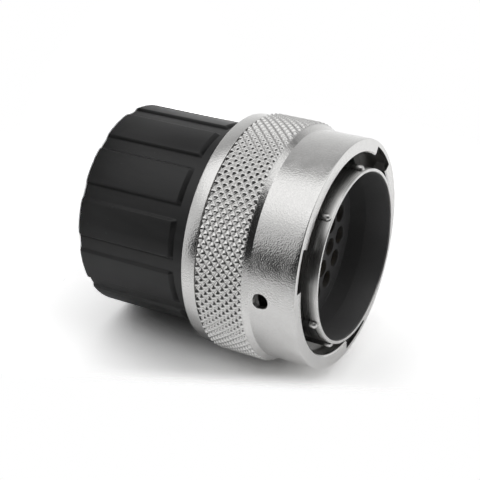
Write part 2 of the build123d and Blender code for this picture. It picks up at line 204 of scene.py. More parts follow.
class Finishes(bpy.types.PropertyGroup):
    """Colours and roughness of the finishes."""

    nickel: colour("Nickel", (0.77, 0.765, 0.755), "Blasted and plated ring")
    nickel_roughness: share("Nickel roughness", 0.19, "Roughness of the blasted ring")
    barrel: colour("Barrel", (0.72, 0.715, 0.705), "Turned and plated shell")
    plastic: colour("Plastic", (0.013, 0.013, 0.0135), "Moulded backshell")
    insulator: colour("Insulator", (0.08, 0.08, 0.081), "Insert and follower")
    rubber: colour("Rubber", (0.03, 0.03, 0.031), "Seal and grommet")
    steel: colour("Steel", (0.6, 0.6, 0.6), "Washers and clip")
    gold: colour("Gold", (0.83, 0.62, 0.28), "Contacts")


class Studio(bpy.types.PropertyGroup):
    """The camera and the light."""

    camera_place: FloatVectorProperty(
        name="Camera place", description="Where the camera stands", size=3, unit="LENGTH",
        subtype="TRANSLATION", precision=5, default=(-0.05599, -0.22456, 0.13592))
    camera_turn: FloatVectorProperty(
        name="Camera turn", description="How the camera is turned", size=3, unit="ROTATION",
        subtype="EULER", default=tuple(math.radians(turn) for turn in (-26.973, -60.935, 105.651)))
    lens: FloatProperty(name="Lens", default=99.816, description="Focal length in millimetres",
                        subtype="DISTANCE_CAMERA")
    table_azimuth: angle("Table azimuth", 20.7, "Side of the connector that lies on the table")
    table_foot: length("Table foot", 27.9, "Height where the table touches the knurl")
    table_lean: angle("Table lean", 6.0, "How the table leans towards the rear edge")
    table_colour: paleness("Table colour", 2.1, "How pale the table looks to the camera")
    floor_colour: paleness("Floor colour", 6.0, "How pale the floor looks to the camera")
    mirrored: paleness("Mirrored table", 1.33, "How pale the table looks in the metal")
    floor_mirrored: paleness("Mirrored floor", 1.6, "How pale the floor looks in the metal")
    room: share("Room", 0.02, "How bright the room is on the camera's side")


def scene_sizes(name):
    """The property group of this name on the scene."""
    return getattr(bpy.context.scene, "connector_" + name)


# Surfaces
#
# A form is its points, a list of face arrays, one for each count of corners, and on some pieces
# a value for each point that says how much painted shade it takes in a corner.

SAME_POINT = 2e-7       # metres within which two points are one


def full_turn(steps, start=0.0):
    """Azimuths that divide the circle into equal steps."""
    return start + np.arange(steps) * 2 * math.pi / steps


def grid_quads(columns, rows, wrap_rows=True):
    """Quads of a grid whose columns close on themselves: point (i, j) has the number i * rows + j.
    The corners run along the columns first, so a profile that climbs on its outside faces out."""
    i = np.arange(columns)[:, None]
    j = np.arange(rows if wrap_rows else rows - 1)[None, :]
    after_i, after_j = (i + 1) % columns, (j + 1) % rows
    corners = (i * rows + j, after_i * rows + j, after_i * rows + after_j, i * rows + after_j)
    return np.stack(np.broadcast_arrays(*corners), axis=-1).reshape(-1, 4)


def polar_points(radius, turn, height):
    """Points from radius, azimuth and height: x is radius times cosine, y is radius times sine."""
    radius, turn, height = np.broadcast_arrays(radius, turn, height)
    return np.stack([radius * np.cos(turn), radius * np.sin(turn), height], axis=-1).reshape(-1, 3)


def smoothstep(value):
    """Three times the square less twice the cube, between nothing and one."""
    value = np.clip(value, 0, 1)
    return value * value * (3 - 2 * value)


def outline(corners, steps=4):
    """A closed profile from corners (radius, height, rounding): each rounded corner becomes an arc
    between the points where a circle of that radius touches both sides."""
    points = []
    for index, (radius, height, rounding) in enumerate(corners):
        here = np.array([radius, height])
        if rounding == 0:
            points.append(here)
            continue
        before = np.array(corners[index - 1][:2]) - here
        after = np.array(corners[(index + 1) % len(corners)][:2]) - here
        before = before / np.linalg.norm(before)
        after = after / np.linalg.norm(after)
        half = math.acos(np.clip(before @ after, -1, 1)) / 2
        middle = before + after
        centre = here + middle / np.linalg.norm(middle) * rounding / math.sin(half)
        reach = rounding / math.tan(half)
        first = here + before * reach - centre
        last = here + after * reach - centre
        sweep = math.atan2(first[0] * last[1] - first[1] * last[0], first @ last)
        for turn in np.linspace(0, sweep, steps + 1):
            c, s = math.cos(turn), math.sin(turn)
            points.append(centre + (c * first[0] - s * first[1], s * first[0] + c * first[1]))
    return np.array(points)


def turned(profile, columns):
    """A turned form: an open profile carried round the axis."""
    points = polar_points(profile[None, :, 0], full_turn(columns)[:, None], profile[None, :, 1])
    return points, [grid_quads(columns, len(profile), wrap_rows=False)]


def joined(*forms):
    """Several forms as one."""
    points, faces, start = [], [], 0
    for form_points, form_faces in forms:
        points.append(form_points)
        faces += [corners + start for corners in form_faces]
        start += len(form_points)
    return np.concatenate(points), faces


def new_piece(name, form, body, material, replaces=None, sharp=35.0):
    """A mesh object from a form, with equal points merged and edges sharper than the given
    angle left hard. It rides on a body and takes the given material."""
    points, faces, *painted_corner_shade = form
    mesh = bpy.data.meshes.new(name)
    mesh.from_pydata(points, [], [face for corners in faces for face in corners.tolist()])
    if painted_corner_shade:
        depths = mesh.attributes.new("painted_corner_shade", "FLOAT", "POINT").data
        depths.foreach_set("value", painted_corner_shade[0].astype(np.float32))
    work = bmesh.new()
    work.from_mesh(mesh)
    bmesh.ops.remove_doubles(work, verts=work.verts, dist=SAME_POINT)
    bmesh.ops.dissolve_degenerate(work, edges=work.edges, dist=SAME_POINT / 2)
    work.to_mesh(mesh)
    work.free()
    mesh.polygons.foreach_set("use_smooth", np.ones(len(mesh.polygons), bool))
    mesh.set_sharp_from_angle(angle=math.radians(sharp))
    mesh.materials.append(material)
    piece = bpy.data.objects.new(name, mesh)
    bpy.context.scene.collection.objects.link(piece)
    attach(piece, body)
    if replaces:
        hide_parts(replaces)
    return piece


# Materials
#
# Patterns and the limits of their ramps are in millimetres.

BLACK = (0.0, 0.0, 0.0)
CORNER_SHADE_BLACK = (0.002, 0.002, 0.002)
SPECK_GREY = (0.1, 0.1, 0.1)
CLOUD = (0.3, 0.7)      # the greys between which most of a noise lies


class Nodes:
    """Adds nodes to a material, a world or a modifier and links them."""

    def __init__(self, tree):
        self.tree = tree
        tree.nodes.clear()

    def add(self, kind, inputs=None, **settings):
        """A node with these settings. An input is a value, or another node's output."""
        node = self.tree.nodes.new(kind)
        for key, value in settings.items():
            setattr(node, key, value)
        for key, value in (inputs or {}).items():
            if isinstance(value, bpy.types.NodeSocket):
                self.tree.links.new(value, node.inputs[key])
            else:
                node.inputs[key].default_value = value
        return node

    def math(self, operation, a, b=0.0, c=0.0, clamp=False):
        """The output of one sum, product or other operation."""
        node = self.add("ShaderNodeMath", {0: a, 1: b, 2: c}, operation=operation, use_clamp=clamp)
        return node.outputs[0]

    def times(self, first, *others):
        """The product of two or more values."""
        for other in others:
            first = self.math("MULTIPLY", first, other)
        return first

    def most(self, a, b):
        """The greater of two values."""
        return self.math("MAXIMUM", a, b)

    def between(self, share, a, b):
        """The first value plus a share of the way to the second."""
        return self.math("MULTIPLY_ADD", self.math("SUBTRACT", b, a), share, a)

    def ramp(self, value, low, high, to_low=0.0, to_high=1.0, smooth=True):
        """The value mapped from one range to another."""
        limits = {"Value": value, "From Min": low, "From Max": high, "To Min": to_low, "To Max": to_high}
        kind = "SMOOTHSTEP" if smooth else "LINEAR"
        return self.add("ShaderNodeMapRange", limits, interpolation_type=kind).outputs["Result"]

    def noise(self, vector, scale, detail=2.0, roughness=0.5):
        """The grey value of a noise texture."""
        inputs = {"Vector": vector, "Scale": scale, "Detail": detail, "Roughness": roughness}
        return self.add("ShaderNodeTexNoise", inputs).outputs["Fac"]

    def tint(self, factor, dark, light):
        """A colour between two, by a factor. Each is red, green and blue, or a node's output."""
        inputs = {"Factor": factor}
        for key, tone in ((6, dark), (7, light)):
            inputs[key] = tone if isinstance(tone, bpy.types.NodeSocket) else (*tone, 1.0)
        return self.add("ShaderNodeMix", inputs, data_type="RGBA").outputs[2]

    def stretched(self, vector, scale):
        """The vector with each axis scaled."""
        return self.add("ShaderNodeMapping", {"Vector": vector, "Scale": scale}).outputs["Vector"]

    def radius_and_height(self, place):
        """How far a place lies from the axis, and its height along it."""
        split = self.add("ShaderNodeSeparateXYZ", {"Vector": place})
        squares = [self.math("POWER", split.outputs[axis], 2.0) for axis in "XY"]
        return self.math("SQRT", self.math("ADD", *squares)), split.outputs["Z"]

    def towards(self, place, direction):
        """How far a place lies in a direction."""
        dot = self.add("ShaderNodeVectorMath", {0: place, 1: direction}, operation="DOT_PRODUCT")
        return dot.outputs["Value"]

    def distance(self, place, centre):
        """How far a place lies from a centre."""
        gap = self.add("ShaderNodeVectorMath", {0: place, 1: centre}, operation="DISTANCE")
        return gap.outputs["Value"]


def empty_material(name):
    """A material without nodes: its node adder, and its object coordinates in metres."""
    material = bpy.data.materials.new(name)
    material.use_nodes = True
    nodes = Nodes(material.node_tree)
    return material, nodes, nodes.add("ShaderNodeTexCoord").outputs["Object"]


def new_material(name):
    """A material without nodes: its node adder, and its object coordinates in millimetres."""
    material, nodes, place = empty_material(name)
    return material, nodes, nodes.stretched(place, (1 / MM, 1 / MM, 1 / MM))


def finished(material, nodes, base, roughness, *bumps, metallic=1.0, specular=0.5):
    """The material with its shader and its bumps, each a height and a depth in millimetres."""
    normal = {}
    for height, depth in bumps:
        inputs = {"Height": height, "Distance": depth * MM, "Strength": 1.0, **normal}
        normal["Normal"] = nodes.add("ShaderNodeBump", inputs).outputs["Normal"]
    inputs = {"Base Color": base, "Roughness": roughness, "Metallic": metallic,
              "Specular IOR Level": specular, **normal}
    shader = nodes.add("ShaderNodeBsdfPrincipled", inputs)
    nodes.add("ShaderNodeOutputMaterial", {"Surface": shader.outputs["BSDF"]})
    return material


def darker(tone, factor):
    """The colour times a factor."""
    return tuple(channel * factor for channel in tone)


def blasted_nickel():
    """Satin nickel over a blasted surface: fine pits, and a faint cloudiness. Inside the ring,
    over the floor of the ramps, it is rougher and carries painted shade, and the relief line
    carries painted shade too."""
    finishes, sizes = scene_sizes("finishes"), scene_sizes("ring")
    material, nodes, place = new_material("blasted_nickel")
    radius, height = nodes.radius_and_height(place)
    pits = nodes.noise(place, 3.7, 1.0)
    grain = nodes.noise(place, 6.0, 1.0)
    cloud = nodes.noise(place, 0.35, 3.0, 0.55)
    floor, face = sizes.floor_radius / MM, RING_HIGH.z / MM
    # Painted shade: darker inside the ring, over the floor of the ramps, which is also rougher there.
    inside = nodes.times(nodes.ramp(radius, floor + 0.15, floor + 0.05),
                         nodes.ramp(height, face - 0.3, face - 1.2))
    _, knurl_front, _, relief_rear = (level / MM for level in ring_heights())
    land = sizes.rear_radius / MM
    # Painted shade: darker in the relief line behind the knurl.
    line = nodes.times(nodes.ramp(radius, land - 0.06, land - 0.25),
                       nodes.ramp(height, relief_rear - 0.1, relief_rear),
                       nodes.ramp(height, knurl_front, knurl_front - 0.1))
    speckle = nodes.times(nodes.math("ADD", cloud, pits), 0.5)
    bright = nodes.times(nodes.ramp(speckle, 0.35, 0.65, 0.9, 1.0),
                         nodes.ramp(inside, 0.0, 1.0, 1.0, 0.9),
                         nodes.ramp(line, 0.0, 1.0, 1.0, 0.7))
    satin = finishes.nickel_roughness
    roughness = nodes.ramp(cloud, *CLOUD, satin - 0.04, satin + 0.06)
    roughness = nodes.math("MULTIPLY_ADD", inside, 0.14, roughness)
    base = nodes.tint(bright, BLACK, finishes.nickel)
    return finished(material, nodes, base, roughness, (pits, 0.032), (grain, 0.008))


def knurled_nickel():
    """The same nickel on the knurl, with painted shade in the valleys, and polished on the tops by
    hands.
    """
    finishes, sizes = scene_sizes("finishes"), scene_sizes("ring")
    material, nodes, place = new_material("knurled_nickel")
    radius, _ = nodes.radius_and_height(place)
    top = RING_HIGH.x / MM
    lift = nodes.ramp(radius, top - sizes.knurl_depth / MM, top, smooth=False)
    grain = nodes.noise(place, 9.0, 3.0, 0.6)
    # Painted shade: darker down in the knurl's valleys.
    bright = nodes.times(nodes.ramp(lift, 0.0, 0.35), nodes.ramp(grain, 0.2, 0.6, 0.85, 1.0))
    base = nodes.tint(bright, darker(finishes.nickel, 0.85), finishes.nickel)
    return finished(material, nodes, base, nodes.ramp(lift, 0.3, 1.0, 0.26, 0.22), (grain, 0.008))


def turned_nickel():
    """Plated metal with the fine rings that turning leaves round the axis. Painted shade darkens
    it down the barrel, but not on the rim and the tips of the keys."""
    finishes, sizes = scene_sizes("finishes"), scene_sizes("shell")
    material, nodes, place = new_material("turned_nickel")
    radius, height = nodes.radius_and_height(place)
    rings = nodes.noise(nodes.stretched(place, (0.15, 0.15, 9.0)), 1.0, 3.0, 0.6)
    cloud = nodes.noise(place, 0.6)
    barrel, rim = (sizes.bore + sizes.wall) / MM, SHELL_HIGH.z / MM
    # Painted shade: darker down the barrel, deep in the gap; the rim and the key tips keep their full
    # tone.
    tips = nodes.times(nodes.ramp(radius, barrel + 0.1, barrel + 0.25),
                       nodes.ramp(height, rim - 2.2, rim - 1.4))
    bright = nodes.most(nodes.ramp(height, rim - 1.2, rim - 0.1, 0.45, 1.0), tips)
    base = nodes.tint(nodes.times(bright, nodes.ramp(cloud, *CLOUD, 0.9, 1.0)), BLACK, finishes.barrel)
    return finished(material, nodes, base, nodes.ramp(rings, *CLOUD, 0.26, 0.32), (rings, 0.0004))


def moulded_plastic():
    """Satin black moulding: a fine spark grain, soft flow marks and a few pale specks. Painted
    shade makes it blacker in its corners, and it is rougher there too."""
    plastic = scene_sizes("finishes").plastic
    material, nodes, place = new_material("moulded_plastic")
    grain = nodes.noise(place, 4.5, 3.0, 0.6)
    flow = nodes.noise(nodes.stretched(place, (0.35, 0.35, 0.08)), 1.0, 3.0)
    specks = nodes.ramp(nodes.noise(place, 1.1, 4.0, 0.65), 0.66, 0.78)
    painted_corner_shade = nodes.add("ShaderNodeAttribute", attribute_name="painted_corner_shade").outputs["Fac"]
    base = nodes.tint(nodes.ramp(flow, *CLOUD), darker(plastic, 0.8), darker(plastic, 1.25))
    base = nodes.tint(nodes.times(specks, 0.35), base, SPECK_GREY)
    # Painted shade: blacker in the corners beside the lands and at the foot of their ramps.
    base = nodes.tint(painted_corner_shade, base, CORNER_SHADE_BLACK)
    satin = nodes.ramp(flow, 0.25, 0.75, 0.3, 0.38)
    roughness = nodes.math("MULTIPLY_ADD", painted_corner_shade, 0.6, satin, clamp=True)
    return finished(material, nodes, base, roughness, (grain, 0.006), metallic=0.0, specular=0.42)


def smooth_insulator():
    """Black insulator with a slight sheen and an even fine grain."""
    insulator = scene_sizes("finishes").insulator
    material, nodes, place = new_material("smooth_insulator")
    grain = nodes.noise(place, 6.0)
    base = nodes.tint(grain, darker(insulator, 0.8), darker(insulator, 1.3))
    roughness = nodes.ramp(nodes.noise(place, 0.5), *CLOUD, 0.42, 0.52)
    return finished(material, nodes, base, roughness, (grain, 0.004), metallic=0.0)


def one_noise_finish(name, tone, stretch, detail, shades, roughness, depth, metallic=1.0):
    """A finish whose shades, roughness and bumps all follow one noise."""
    material, nodes, place = new_material(name)
    pattern = nodes.noise(nodes.stretched(place, stretch), 1.0, detail, 0.6)
    base = nodes.tint(nodes.ramp(pattern, *CLOUD), *(darker(tone, factor) for factor in shades))
    roughness = nodes.ramp(pattern, *CLOUD, *roughness)
    return finished(material, nodes, base, roughness, (pattern, depth), metallic=metallic)


def seal_rubber():
    """Matt rubber with a dusty, slightly uneven skin."""
    return one_noise_finish("seal_rubber", scene_sizes("finishes").rubber, (3.0, 3.0, 3.0), 4.0,
                            (0.8, 1.4), (0.6, 0.75), 0.01, metallic=0.0)


def spring_steel():
    """Bright steel strip with fine lines round the axis."""
    return one_noise_finish("spring_steel", scene_sizes("finishes").steel, (0.2, 0.2, 12.0), 2.0,
                            (0.86, 0.94), (0.25, 0.4), 0.003)


def contact_gold():
    """Gold plate on the contacts, a little worn and cloudy."""
    return one_noise_finish("contact_gold", scene_sizes("finishes").gold, (1.5, 1.5, 1.5), 3.0,
                            (0.75, 1.0), (0.22, 0.38), 0.003)


# Coupling ring

THIRD = 2 * math.pi / 3     # turn from one ramp to the next
SECTOR = 164                # columns of the ring's grid for each of its three ramps
PITCH = THIRD / SECTOR      # turn from one column to the next
HOLE_REACH = 5              # columns from the middle of a sight hole to its edge
OUTER_REACH = 8             # columns from the middle of a sight hole to where the grid is plain again
SPREAD = 12                 # columns over which the grid gets back in step past a lock pocket
KNURL_BED = 0.2 * MM        # how far the ring's body lies under the knurl's valleys
KNURL_SLEEVE = 0.4 * MM     # wall of the knurled sleeve under its valleys
KNURL_SAMPLES = 12          # grid steps across one diamond
SHARPNESS = 0.3             # share of a sharp pyramid in a diamond's form, the rest being a soft bump
VALLEY_CUT = 0.05           # share of a diamond's height that is levelled in the valleys and on the tops
SWELL = 1.35                # how full a diamond's sides are, one being straight


def ring_heights():
    """Heights on the ring's outside, from the front: where the step, the knurl, the relief
    line and the rear land start."""
    sizes = scene_sizes("ring")
    step_front = RING_HIGH.z - sizes.front_land
    knurl_front = step_front - sizes.step
    knurl_rear = knurl_front - sizes.knurl_width
    return step_front, knurl_front, knurl_rear, knurl_rear - sizes.relief


def ring_columns(sizes):
    """The columns of one ramp's third of the ring: their number from the lock pocket, their turn
    from it, and whether they cross the ramp and the notch. A wall along the axis is two columns
    at one turn, the first without what the second has."""
    near_wall = sizes.ramp_turn - sizes.notch_angle / 2
    far_wall = sizes.ramp_turn + sizes.notch_angle / 2
    end, near, far = -(HOLE_REACH + 1), round(near_wall / PITCH), round(far_wall / PITCH)
    number = np.arange(far - SECTOR + 1, far + 1)
    turn = number * PITCH
    left = number < end
    first = far_wall - THIRD
    turn[left] = first + (end * PITCH - first) * (number[left] - (far - SECTOR)) / (end - (far - SECTOR))
    turn[number == near] = near_wall
    turn[number == far] = far_wall
    ramp, notch = number > end, number > near
    walls = {end: ((False, False), (True, False)), near: ((True, False), (True, True)),
             far: ((True, True), (False, False))}
    for wall, sides in walls.items():
        at = int(np.flatnonzero(number == wall)[0])
        number, turn, ramp, notch = (np.insert(row, at, row[at]) for row in (number, turn, ramp, notch))
        ramp[at:at + 2], notch[at:at + 2] = zip(*sides)
    return number, turn, ramp, notch


def ring_outside(sizes, number, turn):
    """The rows of the ring's outside, from the rear bore to the front edge: their radius, height
    and turn at each column, and the row through the middle of the sight holes. Round a hole the
    grid's squares are drawn to circles: a point's place is blended from its place on the grid to
    one on a circle as large as the square it lies on."""
    front, rear = RING_HIGH.z, RING_LOW.z
    lock = front - sizes.lock_depth
    step_front, knurl_front, knurl_rear, relief_rear = ring_heights()
    valley = RING_HIGH.x - sizes.knurl_depth
    bed = valley - KNURL_BED
    run_out = sizes.knurl_depth * sizes.step / (RING_HIGH.x - sizes.front_radius)
    line = sizes.rear_radius - sizes.relief
    outside = outline([
        (sizes.rear_bore, rear, 0.1 * MM),
        (sizes.rear_radius - sizes.rear_taper, rear, 0.3 * MM),
        (sizes.rear_radius, relief_rear, 0.12 * MM),
        (line, relief_rear, 0.05 * MM),
        (line, knurl_rear, 0.05 * MM),
        (bed, knurl_rear, 0),
        (bed, knurl_front + run_out - 0.1 * MM, 0),
        (valley, knurl_front + run_out, 0),
        (sizes.front_radius, step_front, 0.12 * MM),
        (sizes.front_radius, front, sizes.front_edge),
        (sizes.lip_radius, front, 0),
    ], steps=5)
    on_land = (np.abs(outside[:, 0] - sizes.front_radius) < SAME_POINT) & (outside[:, 1] > step_front)
    land = np.flatnonzero(on_land)
    cell = PITCH * sizes.front_radius
    marks = np.arange(-OUTER_REACH, OUTER_REACH + 1)
    upper = np.linspace(lock + OUTER_REACH * cell, outside[land[-1], 1], 6)[1:-1]
    land_z = np.concatenate([lock + marks * cell, upper])
    land_rows = np.stack([np.full(len(land_z), sizes.front_radius), land_z], axis=1)
    outside = np.concatenate([outside[:land[0] + 1], land_rows, outside[land[-1]:-1]])

    i, m = number[:, None].astype(float), marks[None, :].astype(float)
    ratio = np.maximum(np.abs(i), np.abs(m)) / HOLE_REACH
    clear = OUTER_REACH / HOLE_REACH
    blend = smoothstep((clear - ratio) / (clear - 1))
    around = np.arctan2(m, i)
    circle = blend * (sizes.hole_radius + sizes.hole_chamfer) * ratio
    x = i * cell * (1 - blend) + circle * np.cos(around)
    z = m * cell * (1 - blend) + circle * np.sin(around)
    radius, height, azimuth = (row.copy() for row in np.broadcast_arrays(
        outside[None, :, 0], outside[None, :, 1], turn[:, None]))
    near_hole = np.abs(number) <= OUTER_REACH
    span = slice(land[0] + 1, land[0] + 1 + len(marks))
    azimuth[near_hole, span] = (x / sizes.front_radius)[near_hole]
    height[near_hole, span] = (lock + z)[near_hole]
    return (radius, height, azimuth), land[0] + 1 + OUTER_REACH


def ring_inside(sizes, number, turn, ramp, notch):
    """The rows of the ring's inside, from the front edge back to the rear bore: their radius,
    height and turn at each column, and the row through the middle of the sight holes. A ramp
    climbs in step with the turn from its lock pocket, whose end is a half circle."""
    front = RING_HIGH.z
    lock = front - sizes.lock_depth
    half = sizes.ramp_width / 2
    reach = HOLE_REACH + 1
    at, k = turn[:, None], number[:, None].astype(float)
    w = np.arange(reach, -reach - 1, -1).astype(float)[None, :]
    climb = np.clip(at / sizes.ramp_turn, 0, 1) * sizes.ramp_rise
    past = half - reach * PITCH * sizes.floor_radius
    plain_x = at * sizes.floor_radius + past * np.clip(1 - (k - reach) / SPREAD, 0, 1) * (k > reach)
    plain_z = climb + w / reach * half
    loop = np.maximum(np.abs(k), np.abs(w))
    around = np.arctan2(w, k)
    size = np.where(loop <= HOLE_REACH, sizes.hole_radius * loop / HOLE_REACH, half)
    is_round = (k < 0) | (loop <= HOLE_REACH)
    pocket_x = np.where(is_round, size * np.cos(around), half * k / reach)
    pocket_z = np.where(is_round, size * np.sin(around), half * w / reach)
    in_pocket = loop <= reach
    ramp_turn = np.where(in_pocket, pocket_x, plain_x) / sizes.floor_radius
    ramp_z = lock + np.where(in_pocket, pocket_z, plain_z)
    lip = np.where(notch, sizes.floor_radius, sizes.lip_radius)[:, None]
    floor = np.where(ramp, sizes.floor_radius, sizes.lip_radius)[:, None]

    shares = np.linspace(0, 1, 5)[None, 1:-1]
    top_z, top_turn = ramp_z[:, :1], ramp_turn[:, :1]
    chamfer_z = front - sizes.lip_chamfer
    web = outline([
        (sizes.lip_radius, sizes.web_front + 1.5 * MM, 0),
        (sizes.lip_radius, sizes.web_front, 0),
        (sizes.web_radius, sizes.web_front, 0.15 * MM),
        (sizes.web_radius, sizes.web_rear, 0.15 * MM),
        (sizes.rear_bore, sizes.web_rear, 0),
        (sizes.rear_bore, (sizes.web_rear + RING_LOW.z) / 2, 0),
    ])
    blocks = [
        (lip + np.where(notch, 0, sizes.lip_chamfer)[:, None], front, at),
        (lip, chamfer_z, at),
        (lip, chamfer_z + (top_z - chamfer_z) * shares, at + (top_turn - at) * shares),
        (lip, top_z, top_turn),
        (floor, ramp_z, ramp_turn),
        (sizes.lip_radius, ramp_z[:, -1:], ramp_turn[:, -1:]),
        (web[None, :, 0], web[None, :, 1], at),
    ]
    blocks = [np.broadcast_arrays(*block) for block in blocks]
    first_ramp_row = sum(block[0].shape[1] for block in blocks[:4])
    return [np.concatenate(rows, axis=1) for rows in zip(*blocks)], first_ramp_row + reach


def ring_body():
    """The ring without its knurl, as one closed grid: columns round the axis, rows along the
    profile. The middle squares of each sight hole are left out, and the holes' own walls join
    the ring's outside to the floor of its lock pockets."""
    sizes = scene_sizes("ring")
    number, turn, ramp, notch = ring_columns(sizes)
    outside, outer_hole = ring_outside(sizes, number, turn)
    inside, inner_hole = ring_inside(sizes, number, turn, ramp, notch)
    inner_hole += outside[0].shape[1]
    radius, height, azimuth = (np.concatenate(rows, axis=1) for rows in zip(outside, inside))
    columns, rows = radius.shape
    starts = full_turn(3, sizes.notch_azimuth - sizes.ramp_turn)[:, None]
    points = polar_points(radius[None], azimuth[None] + starts[:, :, None], height[None])
    quads = grid_quads(3 * columns, rows)

    column_of = np.tile(number, 3)[quads[:, 0] // rows]
    row_of = quads[:, 0] % rows
    cut = np.zeros(len(quads), bool)
    for hole in (outer_hole, inner_hole):
        cut |= (row_of >= hole - HOLE_REACH) & (row_of < hole + HOLE_REACH)
    cut &= (column_of >= -HOLE_REACH) & (column_of < HOLE_REACH)

    side = np.arange(-HOLE_REACH, HOLE_REACH)
    end = np.full(len(side), HOLE_REACH)
    loop_i, loop_m = np.concatenate([side, end, -side, -end]), np.concatenate([-end, side, end, -side])
    middle = int(np.flatnonzero(number == 0)[0])
    column = (np.arange(3)[:, None] * columns + middle + loop_i) * rows
    around = np.arctan2(loop_m, loop_i)
    chamfer_foot = sizes.front_radius - sizes.hole_chamfer
    edge = polar_points(chamfer_foot, starts + sizes.hole_radius * np.cos(around) / chamfer_foot,
                        RING_HIGH.z - sizes.lock_depth + sizes.hole_radius * np.sin(around))
    edge_ids = len(points) + np.arange(len(edge)).reshape(3, -1)
    loops = (column + outer_hole + loop_m, edge_ids, column + inner_hole - loop_m)
    walls = [np.stack([a, np.roll(a, -1, axis=1), np.roll(b, -1, axis=1), b], axis=-1).reshape(-1, 4)
             for a, b in zip(loops, loops[1:])]
    return np.concatenate([points, edge]), [quads[~cut], *walls]


def knurl_band():
    """The knurled band as a closed sleeve. Its outside is the lower of two surfaces: diamonds
    between two families of crossing valleys, and the cone that runs down to the front land.
    A diamond mixes a pyramid, whose height is twice the distance to the nearest valley counted
    in valleys, with the product of the sines of both distances."""
    sizes = scene_sizes("ring")
    _, knurl_front, knurl_rear, _ = ring_heights()
    slope = (RING_HIGH.x - sizes.front_radius) / sizes.step
    run_out = sizes.knurl_depth / slope
    pitch = sizes.knurl_width / sizes.knurl_rows
    z = np.concatenate([knurl_rear + np.arange(sizes.knurl_rows * KNURL_SAMPLES) * pitch / KNURL_SAMPLES,
                        knurl_front + np.linspace(0, 1, 7) * run_out])
    u = (np.arange(sizes.knurl_columns * KNURL_SAMPLES) / KNURL_SAMPLES)[:, None]
    v = (z[None, :] - knurl_rear) / pitch
    a, b = (2 * np.arcsin(np.abs(np.sin(np.pi * (family + 0.5)))) / np.pi for family in (u + v, u - v))
    peak = SHARPNESS * np.minimum(a, b) + (1 - SHARPNESS) * np.sin(np.pi / 2 * a) * np.sin(np.pi / 2 * b)
    peak = 1 - (1 - np.clip((peak - VALLEY_CUT) / (1 - 2 * VALLEY_CUT), 0, 1)) ** SWELL
    knurl = RING_HIGH.x - sizes.knurl_depth * (1 - peak)
    cone = RING_HIGH.x - (z[None, :] - knurl_front) * slope
    inner = np.full((len(u), 2), RING_HIGH.x - sizes.knurl_depth - KNURL_SLEEVE)
    radius = np.concatenate([np.minimum(knurl, cone), inner], axis=1)
    height = np.append(z, [z[-1], z[0]])
    turn = sizes.knurl_azimuth + u * 2 * math.pi / sizes.knurl_columns
    return polar_points(radius, turn, height), [grid_quads(*radius.shape)]


# Keyed shell

MASTER_KEY = 90.0           # azimuths in degrees
MINOR_KEYS = (-15.0, -50.0, 237.0, 187.5)
JOURNAL_GAP = 0.1 * MM      # from the backshell to the journal


def triangle_wave(height, turn, pitch):
    """A wave that climbs one pitch with each turn: one at its middle, nothing at its ends."""
    return 1 - np.abs(2 * ((height / pitch - turn / (2 * math.pi)) % 1) - 1)


def shell_body():
    """The turned shell, with a thread at its rear: the radius there falls by the thread's depth
    times a triangle wave of height and turn."""
    sizes = scene_sizes("shell")
    rear, rim = SHELL_LOW.z, SHELL_HIGH.z
    barrel = sizes.bore + sizes.wall
    groove = sizes.journal - sizes.groove_depth
    clip_rear = BACK_HIGH.z + sizes.clip_gap
    clip_front = clip_rear + sizes.clip_width
    thread_rear = rear + sizes.thread_chamfer
    journal_z = BACK_HIGH.z + JOURNAL_GAP
    thread_front = journal_z - sizes.thread_chamfer
    head = outline([
        (sizes.bore, rear, 0),
        (sizes.thread_radius - sizes.thread_chamfer, rear, 0),
        (sizes.thread_radius, thread_rear, 0),
    ])
    thread_z = np.arange(thread_rear, thread_front, sizes.thread_pitch / 10)[1:]
    thread = np.stack([np.full(len(thread_z), sizes.thread_radius), thread_z], axis=1)
    tail = outline([
        (sizes.thread_radius, journal_z, 0),
        (sizes.journal, journal_z, 0),
        (sizes.journal, clip_rear, 0.05 * MM),
        (groove, clip_rear, 0),
        (groove, clip_front, 0),
        (sizes.journal, clip_front, 0.05 * MM),
        (sizes.journal, sizes.flange_rear, 0.1 * MM),
        (sizes.flange, sizes.flange_rear, 0.1 * MM),
        (sizes.flange, sizes.flange_front, 0.15 * MM),
        (barrel, sizes.flange_front, 0.2 * MM),
        (barrel, rim, sizes.rim_chamfer),
        (barrel - sizes.rim_wall, rim, sizes.rim_chamfer),
        (barrel - sizes.rim_wall, rim - sizes.rim_depth, 0),
        (sizes.bore, rim - sizes.rim_depth, 0),
        (sizes.bore, sizes.stop_front, 0),
        (sizes.stop_radius, sizes.stop_front, 0),
        (sizes.stop_radius, sizes.stop_rear, 0),
        (sizes.bore, sizes.stop_rear, 0),
    ], steps=3)
    profile = np.concatenate([head, thread, tail])
    turn = full_turn(360)[:, None]
    radius = np.tile(profile[:, 0], (len(turn), 1))
    fade = smoothstep((thread_front - thread_z) / sizes.thread_pitch)
    wave = triangle_wave(thread_z, turn, sizes.thread_pitch)
    radius[:, len(head):len(head) + len(thread)] -= sizes.thread_depth * wave * fade
    return polar_points(radius, turn, profile[:, 1]), [grid_quads(*radius.shape)]


